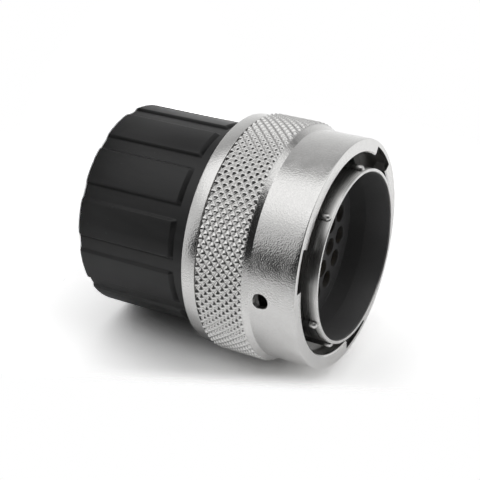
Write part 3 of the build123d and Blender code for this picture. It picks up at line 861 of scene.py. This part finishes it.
def key_form(azimuth, width):
    """One key: an oval carried along the axis from the seal, closed by a dome. The oval is two
    half circles as far apart as the width asks, and the dome shrinks it by a cosine as it
    climbs by a sine."""
    sizes = scene_sizes("shell")
    rounding = sizes.key_round
    tip = SHELL_HIGH.z - sizes.key_setback
    middle = sizes.bore + sizes.wall + sizes.key_height - rounding
    spread = max(width / 2 - rounding, 0)
    angles = full_turn(28, math.pi / 28)[:, None]
    dome = np.linspace(0, math.pi / 2, 8)
    scale = np.append(1.0, np.cos(dome))
    height = np.append(GASKET_HIGH.z, tip - rounding + rounding * np.sin(dome))
    out = middle + rounding * np.cos(angles) * scale
    side = np.sign(np.sin(angles)) * spread + rounding * np.sin(angles) * scale
    c, s = math.cos(math.radians(azimuth)), math.sin(math.radians(azimuth))
    points = np.stack(np.broadcast_arrays(out * c - side * s, out * s + side * c, height), axis=-1)
    ring = np.arange(len(angles))[None, :] * len(height)
    ends = np.concatenate([ring[:, ::-1], ring + len(height) - 1])
    return points.reshape(-1, 3), [grid_quads(*out.shape, wrap_rows=False), ends]


def keyed_shell():
    """The shell with its wide key and its four round ones."""
    wide = key_form(MASTER_KEY, scene_sizes("shell").master_width)
    return joined(shell_body(), wide, *(key_form(azimuth, 0.0) for azimuth in MINOR_KEYS))


# Backshell

COLLAR_EDGE = 0.15 * MM     # rounding of the collar's front edge
CORNER_SHADE = 0.75         # how much painted shade the corners beside the lands take


def land_step(distance, half, side, blur):
    """One on a land, nothing between the lands, and a straight side from one to the other. The
    corners are parabolas that reach as far as the blur."""
    straight = np.clip((half + side - distance) / side, 0, 1)
    low = np.clip((half + side + blur - distance) / (2 * blur), 0, 1) ** 2 * blur / side
    high = np.clip((distance - half + blur) / (2 * blur), 0, 1) ** 2 * blur / side
    foot_rounded = np.where(np.abs(distance - half - side) < blur, low, straight)
    return np.where(np.abs(distance - half) < blur, 1 - high, foot_rounded)


def land_columns(half, side, soft, pitch):
    """Turns of the grid's columns over one land, close together where its edges are rounded."""
    edge = np.array([-soft, -soft / 3, soft / 3, soft])
    slope = half + np.array([0.0, 0.5, 1.0]) * side
    right = np.unique(np.concatenate([half + edge, slope, half + side + edge]))
    right = np.concatenate([np.linspace(0, half - soft, 9)[:-1], right,
                            np.linspace(half + side + soft, pitch / 2, 6)[1:]])
    return np.concatenate([-right[::-1][:-1], right])[1:]


def land_corner_shade(sizes, across, rows_z):
    """How much painted shade each point takes, where a land's side or front ramp meets the
    collar. Along the ramp it fades to the rear, and across the land to one side."""
    half, side = sizes.land_angle / 2, sizes.side_angle
    ramp_length = sizes.ramp_foot - sizes.ramp_top
    beside = CORNER_SHADE * smoothstep(1 - np.abs(across - half - 0.8 * side) / side)
    along = rows_z < sizes.ramp_foot + 0.1 * MM
    climb = smoothstep((rows_z - sizes.ramp_top + 0.1 * MM) / (0.6 * ramp_length))
    foot = smoothstep((sizes.ramp_foot + 0.12 * MM - rows_z) / (0.15 * MM))
    on_land = smoothstep((half + side - np.abs(across)) / (2 * side)) * (0.7 + 0.3 * across / half)
    return np.maximum(beside[:, None] * along, on_land[:, None] * climb * foot)


def fluted_backshell():
    """The backshell as one closed grid. On its outside the radius is the collar's plus the
    land's height times two steps: one across the land, with rounded edges, and one along it,
    that ends in the front ramp. Its pocket has a thread, a triangle wave of height and turn."""
    sizes = scene_sizes("backshell")
    front, top = BACK_HIGH.z, BACK_HIGH.x
    half, side = sizes.land_angle / 2, sizes.side_angle
    pitch = 2 * math.pi / sizes.lands
    soft = sizes.rounding / sizes.collar
    across = land_columns(half, side, soft, pitch)
    quarter = np.linspace(-math.pi / 2, 0, 9)
    soft_z = sizes.rounding
    edge_z = np.array([-soft_z, -soft_z / 3, soft_z / 3, soft_z])
    rows_z = np.concatenate([
        sizes.corner * (1 + np.sin(quarter)),
        np.linspace(sizes.corner, sizes.ramp_top - soft_z, 12)[1:],
        sizes.ramp_top + edge_z[1:],
        sizes.ramp_foot + edge_z,
        np.linspace(sizes.ramp_foot + soft_z, front - COLLAR_EDGE, 5)[1:],
    ])
    sink = np.zeros(len(rows_z))
    sink[:len(quarter)] = sizes.corner * (1 - np.cos(quarter))
    along = np.clip((sizes.ramp_foot - rows_z) / (sizes.ramp_foot - sizes.ramp_top), 0, 1)
    lift = land_step(np.abs(across), half, side, 0.8 * soft)
    outside = sizes.collar + (top - sizes.collar) * lift[:, None] * along - sink
    turn = (sizes.azimuth + full_turn(sizes.lands)[:, None] + across).reshape(-1, 1)

    thread_z = np.arange(front - 1.2 * MM, sizes.seat + 1.2 * MM, -0.1 * MM)
    mouth = outline([
        (sizes.collar, front, COLLAR_EDGE),
        (sizes.pocket + sizes.mouth_chamfer, front, 0),
        (sizes.pocket, front - sizes.mouth_chamfer, 0),
        (sizes.pocket, front - 3 * MM, 0),
    ])[:-1]
    chamber = outline([
        (sizes.pocket, sizes.seat + 3 * MM, 0),
        (sizes.pocket, sizes.seat, 0.2 * MM),
        (sizes.chamber, sizes.seat, 0.2 * MM),
        (sizes.chamber, sizes.lip, sizes.fillet),
        (sizes.entry, sizes.lip, 0.2 * MM),
        (sizes.entry, sizes.entry_chamfer, 0),
        (sizes.entry + sizes.entry_chamfer, 0, 0),
    ])[1:]
    inside_r = np.concatenate([mouth[:, 0], np.full(len(thread_z), sizes.pocket), chamber[:, 0]])
    inside_z = np.concatenate([mouth[:, 1], thread_z, chamber[:, 1]])
    inside = np.tile(inside_r, (len(turn), 1))
    wave = 1 - triangle_wave(thread_z, turn, scene_sizes("shell").thread_pitch)
    fade = smoothstep((thread_z - thread_z[-1]) / MM) * smoothstep((thread_z[0] - thread_z) / MM)
    inside[:, len(mouth):len(mouth) + len(thread_z)] += sizes.thread_depth * wave * fade

    radius = np.concatenate([np.tile(outside, (sizes.lands, 1)), inside], axis=1)
    # Painted shade in the corners where the lands meet the collar.
    painted_corner_shade = np.zeros(radius.shape)
    painted_corner_shade[:, :len(rows_z)] = np.tile(land_corner_shade(sizes, across, rows_z), (sizes.lands, 1))
    points = polar_points(radius, turn, np.concatenate([rows_z, inside_z]))
    return points, [grid_quads(*radius.shape)], painted_corner_shade.reshape(-1)


# Front insert

CAVITY_ROWS = ((1, 0.0, 0.0), (5, 3.7, 10.0), (10, 7.4, 9.1), (15, 11.15, -2.5))
RIM_STEPS = 360
HOLE_STEPS = 32
RIM_GAP = 0.02 * MM     # between the skirt and the barrel's thinner rim


def circle_points(centre, radius, steps, start=0.0):
    """Points of a flat circle."""
    turn = full_turn(steps, start)
    return centre + radius * np.stack([np.cos(turn), np.sin(turn)], axis=1)


def cavity_places():
    """Centres of the cavities, row by row. A row is its count, radius and first azimuth."""
    return np.concatenate([circle_points((0.0, 0.0), radius * MM, places, math.radians(azimuth))
                           for places, radius, azimuth in CAVITY_ROWS])


def holed_face(radius, hole_radius, height, up):
    """A flat round face with a round hole at each cavity: a triangulation of its circles'
    points, without the triangles whose middle lies in a hole."""
    circles = [circle_points((0.0, 0.0), radius, RIM_STEPS)]
    circles += [circle_points(centre, hole_radius, HOLE_STEPS) for centre in cavity_places()]
    edges, start = [], 0
    for circle in circles:
        numbers = np.arange(len(circle)) + start
        edges += np.stack([numbers, np.roll(numbers, -1)], axis=1).tolist()
        start += len(circle)
    flat = [Vector(point) for point in np.concatenate(circles) / MM]
    found = delaunay_2d_cdt(flat, edges, [], 1, 1e-6)
    points = np.array([tuple(point) for point in found[0]]) * MM
    faces = np.array([face for face in found[2] if len(face) == 3])
    middles = points[faces].mean(axis=1)
    gaps = np.linalg.norm(middles[:, None] - cavity_places()[None], axis=2)
    faces = faces[(gaps > hole_radius * math.cos(math.pi / HOLE_STEPS)).all(axis=1)]
    a, b, c = (points[faces[:, corner]] for corner in range(3))
    area = (b - a)[:, 0] * (c - a)[:, 1] - (b - a)[:, 1] * (c - a)[:, 0]
    faces = np.where((area > 0)[:, None] == up, faces, faces[:, ::-1])
    return np.column_stack([points, np.full(len(points), height)]), [faces]


def socket_insert():
    """The insert: a turned outside without its two flat faces, the faces with their holes, and
    a stepped wall down each cavity. Its skirt reaches out to the barrel's thinner rim."""
    sizes, shell = scene_sizes("insert"), scene_sizes("shell")
    rear, top = INSERT_LOW.z, INSERT_HIGH.z
    corner, bevel = sizes.corner, sizes.mouth_bevel
    lead = shell.bore + shell.wall - shell.rim_wall - RIM_GAP
    lead_z = SHELL_HIGH.z - shell.rim_depth + 0.05 * MM
    outside = outline([
        (sizes.boss - corner, rear, 0),
        (sizes.boss, rear + corner, 0),
        (sizes.boss, sizes.seat, 0),
        (sizes.radius, sizes.seat, 0.1 * MM),
        (sizes.radius, lead_z, 0),
        (lead, lead_z, 0),
        (lead, top, 0),
        (lead - 0.1 * MM, top, 0.05 * MM),
        (sizes.skirt, sizes.face + 3.5 * MM, 3.0 * MM),
        (sizes.skirt, sizes.face, 0.12 * MM),
        (sizes.skirt - 0.5 * MM, sizes.face, 0),
    ])
    step = sizes.face - sizes.mouth_depth
    wall_points, wall_faces = turned(outline([
        (sizes.mouth + bevel, sizes.face, 0),
        (sizes.mouth, sizes.face - bevel, 0),
        (sizes.mouth, step, 0),
        (sizes.cavity, step, 0),
        (sizes.cavity, rear, 0),
    ]), HOLE_STEPS)
    return joined(
        turned(outside, RIM_STEPS),
        *((wall_points + (x, y, 0.0), wall_faces) for x, y in cavity_places()),
        holed_face(outside[-1, 0], sizes.mouth + bevel, sizes.face, True),
        holed_face(sizes.boss - corner, sizes.cavity, rear, False),
    )


# Wave washer

WAVES = 3
WAVE_THICKNESS = 0.35 * MM
WAVE_WIDTH = 0.7 * MM
WAVE_EDGE = 0.05 * MM


def wave_spring():
    """The wave washer: a flat strip carried round the axis, its height a cosine of the turn."""
    swing = (WAVE_HIGH.z - WAVE_LOW.z - WAVE_THICKNESS) / 2
    outer = WAVE_HIGH.x
    inner = outer - WAVE_WIDTH
    strip = outline([
        (outer, 0.0, WAVE_EDGE),
        (outer, WAVE_THICKNESS, WAVE_EDGE),
        (inner, WAVE_THICKNESS, WAVE_EDGE),
        (inner, 0.0, WAVE_EDGE),
    ], steps=2)
    turn = full_turn(240)[:, None]
    height = WAVE_LOW.z + swing + swing * np.cos(WAVES * turn) + strip[:, 1]
    return polar_points(strip[:, 0], turn, height), [grid_quads(*height.shape)]


# Finish of the inner pieces

SMOOTH_BEND = math.radians(30)      # the sharpest bend that is shaded smooth


def smooth_modifier_nodes():
    """A modifier that joins a solid's loose triangles and shades its curved walls smooth:
    edges under the angle between two walls are smooth, and the rest stay hard."""
    group = bpy.data.node_groups.new("smooth_curves", "GeometryNodeTree")
    group.interface.new_socket("Geometry", in_out="INPUT", socket_type="NodeSocketGeometry")
    group.interface.new_socket("Geometry", in_out="OUTPUT", socket_type="NodeSocketGeometry")
    nodes = Nodes(group)
    source = nodes.add("NodeGroupInput").outputs["Geometry"]
    merged = nodes.add("GeometryNodeMergeByDistance", {"Geometry": source, "Distance": 1e-6})
    smooth = nodes.add("GeometryNodeSetShadeSmooth",
                       {"Geometry": merged.outputs["Geometry"], "Shade Smooth": True})
    bend = nodes.add("GeometryNodeInputMeshEdgeAngle").outputs["Unsigned Angle"]
    hard = nodes.add("FunctionNodeCompare", {"A": bend, "B": SMOOTH_BEND}, operation="GREATER_THAN")
    edges = nodes.add("GeometryNodeSetShadeSmooth",
                      {"Geometry": smooth.outputs["Geometry"], "Selection": hard.outputs["Result"],
                       "Shade Smooth": False}, domain="EDGE")
    nodes.add("NodeGroupOutput", {"Geometry": edges.outputs["Geometry"]})
    return group


# Stage
#
# The studio's directions are up from the table, near to the camera's side, and along the
# connector to its front. A pair is where a ramp starts and ends.

TABLE_REACH = 0.2
FLOOR_REACH = 0.12
TABLE_END = (0.05, 0.1)         # where the table fades, from its foot
FLOOR_END = (0.022, 0.045)      # where the floor fades, from the axis
FLOOR_SIDE = (-0.008, 0.006)    # where it fades towards the table
# Painted shadow on the table: the BESIDE ramps darken it beside the connector for the camera, and the
# MIRRORED ones darken it as the metal mirrors it.
BESIDE_REAR = (-0.002, 0.008)   # the table's shade beside the connector, along and across it
BESIDE_FRONT = (0.046, 0.032)
BESIDE_FAR = (-0.015, -0.004)
BESIDE_NEAR = (0.015, 0.004)
BESIDE_SHADE = 0.2
MIRRORED_FRONT = (0.038, 0.022)     # the table's shade as the metal mirrors it
MIRRORED_NEAR = (0.036, 0.014)
MIRRORED_SHADE = 0.42
UNSEEN = (0.0295, 0.036)        # where the table fades to all but the metal
UNSEEN_LEAN = 0.54              # how that edge leans

PALE_LIGHT = 0.66               # the table's light, and the room's over the connector
SOFT_BOX_LIGHT = 1.16
SOFT_BOX_EDGE = (0.6, 0.85)
BACKDROP_LIGHT = 0.86           # at the connector's height
BACKDROP_FALL = -0.52           # what it gains upwards
BACKDROP_SIDE = (-0.427, -0.366)    # its near edge: what it gains along, and where it starts
BACKDROP_EDGE = (-0.08, 0.12)
TABLE_EDGE = (-0.3, 0.3)
HORIZON = (-0.06, 0.06)
SMUDGE_WAY = (0.55, -0.74, 0.38)    # a darker place on the backdrop
SMUDGE_SIZE = (0.05, 0.35)
SMUDGE_SHADE = 0.34
ROOM_SIDE = (-0.76, 0.56)       # the dark room's far edge: what it gains along, and where it starts
ROOM_LIMITS = (0.12, 0.85)
ROOM_EDGE = (-0.04, 0.03)
ROOM_FLOOR = (-0.17, -0.01)


def make_camera(context):
    """A camera at the photograph's viewing angle."""
    studio = scene_sizes("studio")
    lens = bpy.data.cameras.new("camera")
    lens.lens = studio.lens
    lens.sensor_width = 36.0
    lens.clip_start = 0.01
    camera = bpy.data.objects.new("camera", lens)
    camera.location = studio.camera_place
    camera.rotation_euler = studio.camera_turn
    context.scene.collection.objects.link(camera)
    context.scene.camera = camera


def stage_plane(context, name, corners, material):
    """A flat stage piece."""
    mesh = bpy.data.meshes.new(name)
    mesh.from_pydata(corners, [], [(0, 1, 2, 3)])
    mesh.materials.append(material)
    plane = bpy.data.objects.new(name, mesh)
    context.scene.collection.objects.link(plane)


def finish_card(nodes, place, shown, mirrored, centre, end, hidden=0.0, unseen=0.0):
    """A pale card, seen from its front only, that ends softly. It is whole up to one distance
    from its centre and gone at another, gone where it is hidden, and gone to all but the metal
    where it is unseen. The camera and the metal see it paler than the light on it makes it."""
    path = nodes.add("ShaderNodeLightPath").outputs
    seen = nodes.math("ADD", path["Is Camera Ray"], path["Is Transmission Ray"], clamp=True)
    tone = nodes.ramp(nodes.noise(place, 8.0), 0.0, 1.0, 0.78, 0.82)
    tone = nodes.between(seen, nodes.between(path["Is Glossy Ray"], tone, mirrored), shown)
    pale = nodes.add("ShaderNodeCombineColor", {0: tone, 1: tone, 2: tone}).outputs[0]
    card = nodes.add("ShaderNodeBsdfDiffuse", {"Color": pale}).outputs["BSDF"]
    behind = nodes.add("ShaderNodeNewGeometry").outputs["Backfacing"]
    gone = nodes.most(nodes.most(behind, hidden), nodes.ramp(nodes.distance(place, centre), *end))
    gone = nodes.most(gone, nodes.times(nodes.math("SUBTRACT", 1.0, path["Is Glossy Ray"]), unseen))
    clear = nodes.add("ShaderNodeBsdfTransparent").outputs["BSDF"]
    ending = nodes.add("ShaderNodeMixShader", {0: gone, 1: card, 2: clear})
    nodes.add("ShaderNodeOutputMaterial", {"Surface": ending.outputs["Shader"]})


def make_floor(context):
    """The floor that the connector's rear face stands on."""
    studio = scene_sizes("studio")
    material, nodes, place = empty_material("floor_card")
    table_way = (math.cos(studio.table_azimuth), math.sin(studio.table_azimuth), 0.0)
    hidden = nodes.ramp(nodes.towards(place, table_way), *FLOOR_SIDE)
    finish_card(nodes, place, studio.floor_colour, studio.floor_mirrored, (0, 0, 0), FLOOR_END, hidden)
    corners = [(x * FLOOR_REACH, y * FLOOR_REACH, 0) for x, y in ((-1, -1), (1, -1), (1, 1), (-1, 1))]
    stage_plane(context, "floor", corners, material)


def make_table(context):
    """The table that the connector lies on in the photograph. It touches the knurl, and leans
    by the table's lean towards the rear edge of the backshell. A painted shadow darkens it
    beside the connector, as the camera sees it and as the metal mirrors it."""
    studio = scene_sizes("studio")
    c, s = math.cos(studio.table_azimuth), math.sin(studio.table_azimuth)
    lean = studio.table_lean
    foot = np.array([c, s, 0.0]) * (RING_HIGH.x + 0.05 * MM) + (0, 0, studio.table_foot)
    along = np.array([-s, c, 0.0]) * TABLE_REACH
    climb = np.array([c * math.sin(lean), s * math.sin(lean), math.cos(lean)]) * TABLE_REACH
    corners = (foot + climb - along, foot + climb + along, foot - climb + along, foot - climb - along)
    material, nodes, place = empty_material("table_card")
    near = nodes.towards(place, (s, -c, 0.0))
    height = nodes.towards(place, (0.0, 0.0, 1.0))
    # Painted shadow beside the connector, as the camera sees the table.
    beside = nodes.times(nodes.ramp(height, *BESIDE_REAR), nodes.ramp(height, *BESIDE_FRONT),
                         nodes.ramp(near, *BESIDE_FAR), nodes.ramp(near, *BESIDE_NEAR))
    shown = nodes.between(beside, studio.table_colour, BESIDE_SHADE * studio.table_colour)
    # Painted shadow under the connector, as the metal mirrors the table.
    under = nodes.times(nodes.ramp(near, *MIRRORED_NEAR), nodes.ramp(height, *MIRRORED_FRONT))
    mirrored = nodes.between(under, studio.mirrored, MIRRORED_SHADE * studio.mirrored)
    unseen = nodes.ramp(nodes.towards(place, (s, -c, UNSEEN_LEAN)), *UNSEEN)
    finish_card(nodes, place, shown, mirrored, tuple(foot), TABLE_END, unseen=unseen)
    stage_plane(context, "table", [tuple(corner) for corner in corners], material)


def make_world(context):
    """Soft studio light, whose strength depends on how far a direction points up, near and
    along. A wide soft box hangs over the table, a pale backdrop stands behind the connector,
    the room on the camera's side is dark, and the table is pale. The camera sees white."""
    studio = scene_sizes("studio")
    world = bpy.data.worlds.new("studio")
    world.use_nodes = True
    context.scene.world = world
    nodes = Nodes(world.node_tree)
    turn = studio.table_azimuth + math.pi
    way = nodes.add("ShaderNodeTexCoord").outputs["Generated"]
    inputs = {"Vector": way, "Angle": -turn}
    way = nodes.add("ShaderNodeVectorRotate", inputs, rotation_type="Z_AXIS").outputs["Vector"]
    up, near, along = nodes.add("ShaderNodeSeparateXYZ", {"Vector": way}).outputs

    over = nodes.ramp(up, *SOFT_BOX_EDGE, PALE_LIGHT, SOFT_BOX_LIGHT)
    back = nodes.math("MINIMUM", nodes.math("MULTIPLY_ADD", up, BACKDROP_FALL, BACKDROP_LIGHT), 1.0)
    smudge = nodes.ramp(nodes.distance(way, SMUDGE_WAY), *SMUDGE_SIZE, SMUDGE_SHADE, 0.0)
    back = nodes.math("SUBTRACT", back, smudge)
    side = nodes.math("SUBTRACT", near, nodes.math("MULTIPLY_ADD", along, *BACKDROP_SIDE))
    upper = nodes.between(nodes.ramp(side, *BACKDROP_EDGE), back, over)
    lower = nodes.between(nodes.ramp(near, *TABLE_EDGE), back, PALE_LIGHT)
    strength = nodes.between(nodes.ramp(up, *HORIZON), lower, upper)
    room = nodes.most(nodes.math("MULTIPLY_ADD", along, *ROOM_SIDE), ROOM_LIMITS[0])
    room = nodes.math("SUBTRACT", near, nodes.math("MINIMUM", room, ROOM_LIMITS[1]))
    dark = nodes.times(nodes.ramp(room, *ROOM_EDGE), nodes.ramp(up, *ROOM_FLOOR))
    strength = nodes.between(dark, strength, studio.room)

    path = nodes.add("ShaderNodeLightPath").outputs
    seen = nodes.math("ADD", path["Is Camera Ray"], path["Is Transmission Ray"], clamp=True)
    light = nodes.add("ShaderNodeBackground", {"Color": (1, 1, 1, 1), "Strength": strength})
    white = nodes.add("ShaderNodeBackground", {"Color": (1, 1, 1, 1), "Strength": 1.0})
    shown = nodes.add("ShaderNodeMixShader", {0: seen, 1: light.outputs[0], 2: white.outputs[0]})
    nodes.add("ShaderNodeOutputWorld", {"Surface": shown.outputs["Shader"]})


# Operators

class MakeCouplingRing(bpy.types.Operator):
    """Makes the coupling ring with its lip, notches, ramps and sight holes"""

    bl_idname = "connector.coupling_ring"
    bl_label = "Coupling ring"
    bl_options = {"REGISTER", "UNDO"}

    def execute(self, context):
        new_piece("blasted_coupling_ring", ring_body(), "ring", blasted_nickel(),
                  replaces="coupling_ring")
        return {"FINISHED"}


class MakeKnurl(bpy.types.Operator):
    """Makes the knurled band of the coupling ring"""

    bl_idname = "connector.knurl"
    bl_label = "Knurl"
    bl_options = {"REGISTER", "UNDO"}

    def execute(self, context):
        new_piece("knurled_band", knurl_band(), "ring", knurled_nickel(), sharp=60.0)
        return {"FINISHED"}


class MakeKeyedShell(bpy.types.Operator):
    """Makes the plated shell with its keys and its rear thread"""

    bl_idname = "connector.keyed_shell"
    bl_label = "Keyed shell"
    bl_options = {"REGISTER", "UNDO"}

    def execute(self, context):
        new_piece("keyed_shell", keyed_shell(), "plug", turned_nickel(),
                  replaces="plug_shell")
        return {"FINISHED"}


class MakeBackshell(bpy.types.Operator):
    """Makes the moulded backshell with its grip lands"""

    bl_idname = "connector.backshell"
    bl_label = "Backshell"
    bl_options = {"REGISTER", "UNDO"}

    def execute(self, context):
        new_piece("fluted_backshell", fluted_backshell(), "plug", moulded_plastic(),
                  replaces="backshell")
        return {"FINISHED"}


class MakeInsert(bpy.types.Operator):
    """Makes the black insert with its skirt and cavities"""

    bl_idname = "connector.insert"
    bl_label = "Insert"
    bl_options = {"REGISTER", "UNDO"}

    def execute(self, context):
        new_piece("socket_insert", socket_insert(), "plug", smooth_insulator(),
                  replaces="front_insert")
        return {"FINISHED"}


class MakeWaveSpring(bpy.types.Operator):
    """Makes the wave washer"""

    bl_idname = "connector.wave_spring"
    bl_label = "Wave washer"
    bl_options = {"REGISTER", "UNDO"}

    def execute(self, context):
        piece = new_piece("wave_spring", wave_spring(), "plug", spring_steel(),
                          replaces="wave_washer")
        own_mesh(piece)
        return {"FINISHED"}


class DressInnerPieces(bpy.types.Operator):
    """Gives the contacts, washers, clip, seal, grommet and follower their finishes"""

    bl_idname = "connector.inner_pieces"
    bl_label = "Inner pieces"
    bl_options = {"REGISTER", "UNDO"}

    def execute(self, context):
        shading = smooth_modifier_nodes()
        finishes = {
            "contact": contact_gold(),
            "barrel_gasket": seal_rubber(),
            "wire_grommet": seal_rubber(),
            "thrust_washer": spring_steel(),
            "retaining_clip": spring_steel(),
            "grommet_follower": smooth_insulator(),
        }
        for name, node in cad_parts.items():
            for start, material in finishes.items():
                if name.startswith(start):
                    node.data.materials.clear()
                    node.data.materials.append(material)
                    modifier = node.modifiers.new("smooth_curves", "NODES")
                    modifier.node_group = shading
        return {"FINISHED"}


class MakeStage(bpy.types.Operator):
    """Sets the camera, the floor, the table and the studio light"""

    bl_idname = "connector.stage"
    bl_label = "Stage"
    bl_options = {"REGISTER", "UNDO"}

    def execute(self, context):
        make_camera(context)
        make_floor(context)
        make_table(context)
        make_world(context)
        context.scene.view_settings.view_transform = "Standard"
        return {"FINISHED"}


OPERATORS = (MakeStage, MakeCouplingRing, MakeKnurl, MakeKeyedShell, MakeBackshell, MakeInsert,
             MakeWaveSpring, DressInnerPieces)
GROUPS = {"ring": RingSizes, "shell": ShellSizes, "backshell": BackshellSizes, "insert": InsertSizes,
          "finishes": Finishes, "studio": Studio}


class ConnectorPanel(bpy.types.Panel):
    """Lists the connector's pieces and their sizes"""

    bl_idname = "VIEW3D_PT_connector"
    bl_label = "Connector"
    bl_space_type = "VIEW_3D"
    bl_region_type = "UI"
    bl_category = "Connector"

    def draw(self, context):
        layout = self.layout
        for operator in OPERATORS:
            layout.operator(operator.bl_idname)
        for name, group in GROUPS.items():
            box = layout.box()
            box.label(text=name.capitalize())
            for key in group.__annotations__:
                box.prop(scene_sizes(name), key)


def register():
    for group in GROUPS.values():
        bpy.utils.register_class(group)
    for name, group in GROUPS.items():
        setattr(bpy.types.Scene, "connector_" + name, PointerProperty(type=group))
    for operator in OPERATORS:
        bpy.utils.register_class(operator)
    bpy.utils.register_class(ConnectorPanel)


def unregister():
    bpy.utils.unregister_class(ConnectorPanel)
    for operator in reversed(OPERATORS):
        bpy.utils.unregister_class(operator)
    for name, group in GROUPS.items():
        delattr(bpy.types.Scene, "connector_" + name)
        bpy.utils.unregister_class(group)


def main():
    register()
    bpy.ops.connector.stage()
    bpy.ops.connector.coupling_ring()
    bpy.ops.connector.knurl()
    bpy.ops.connector.keyed_shell()
    bpy.ops.connector.backshell()
    bpy.ops.connector.insert()
    bpy.ops.connector.wave_spring()
    bpy.ops.connector.inner_pieces()


if __name__ == "__main__":
    main()
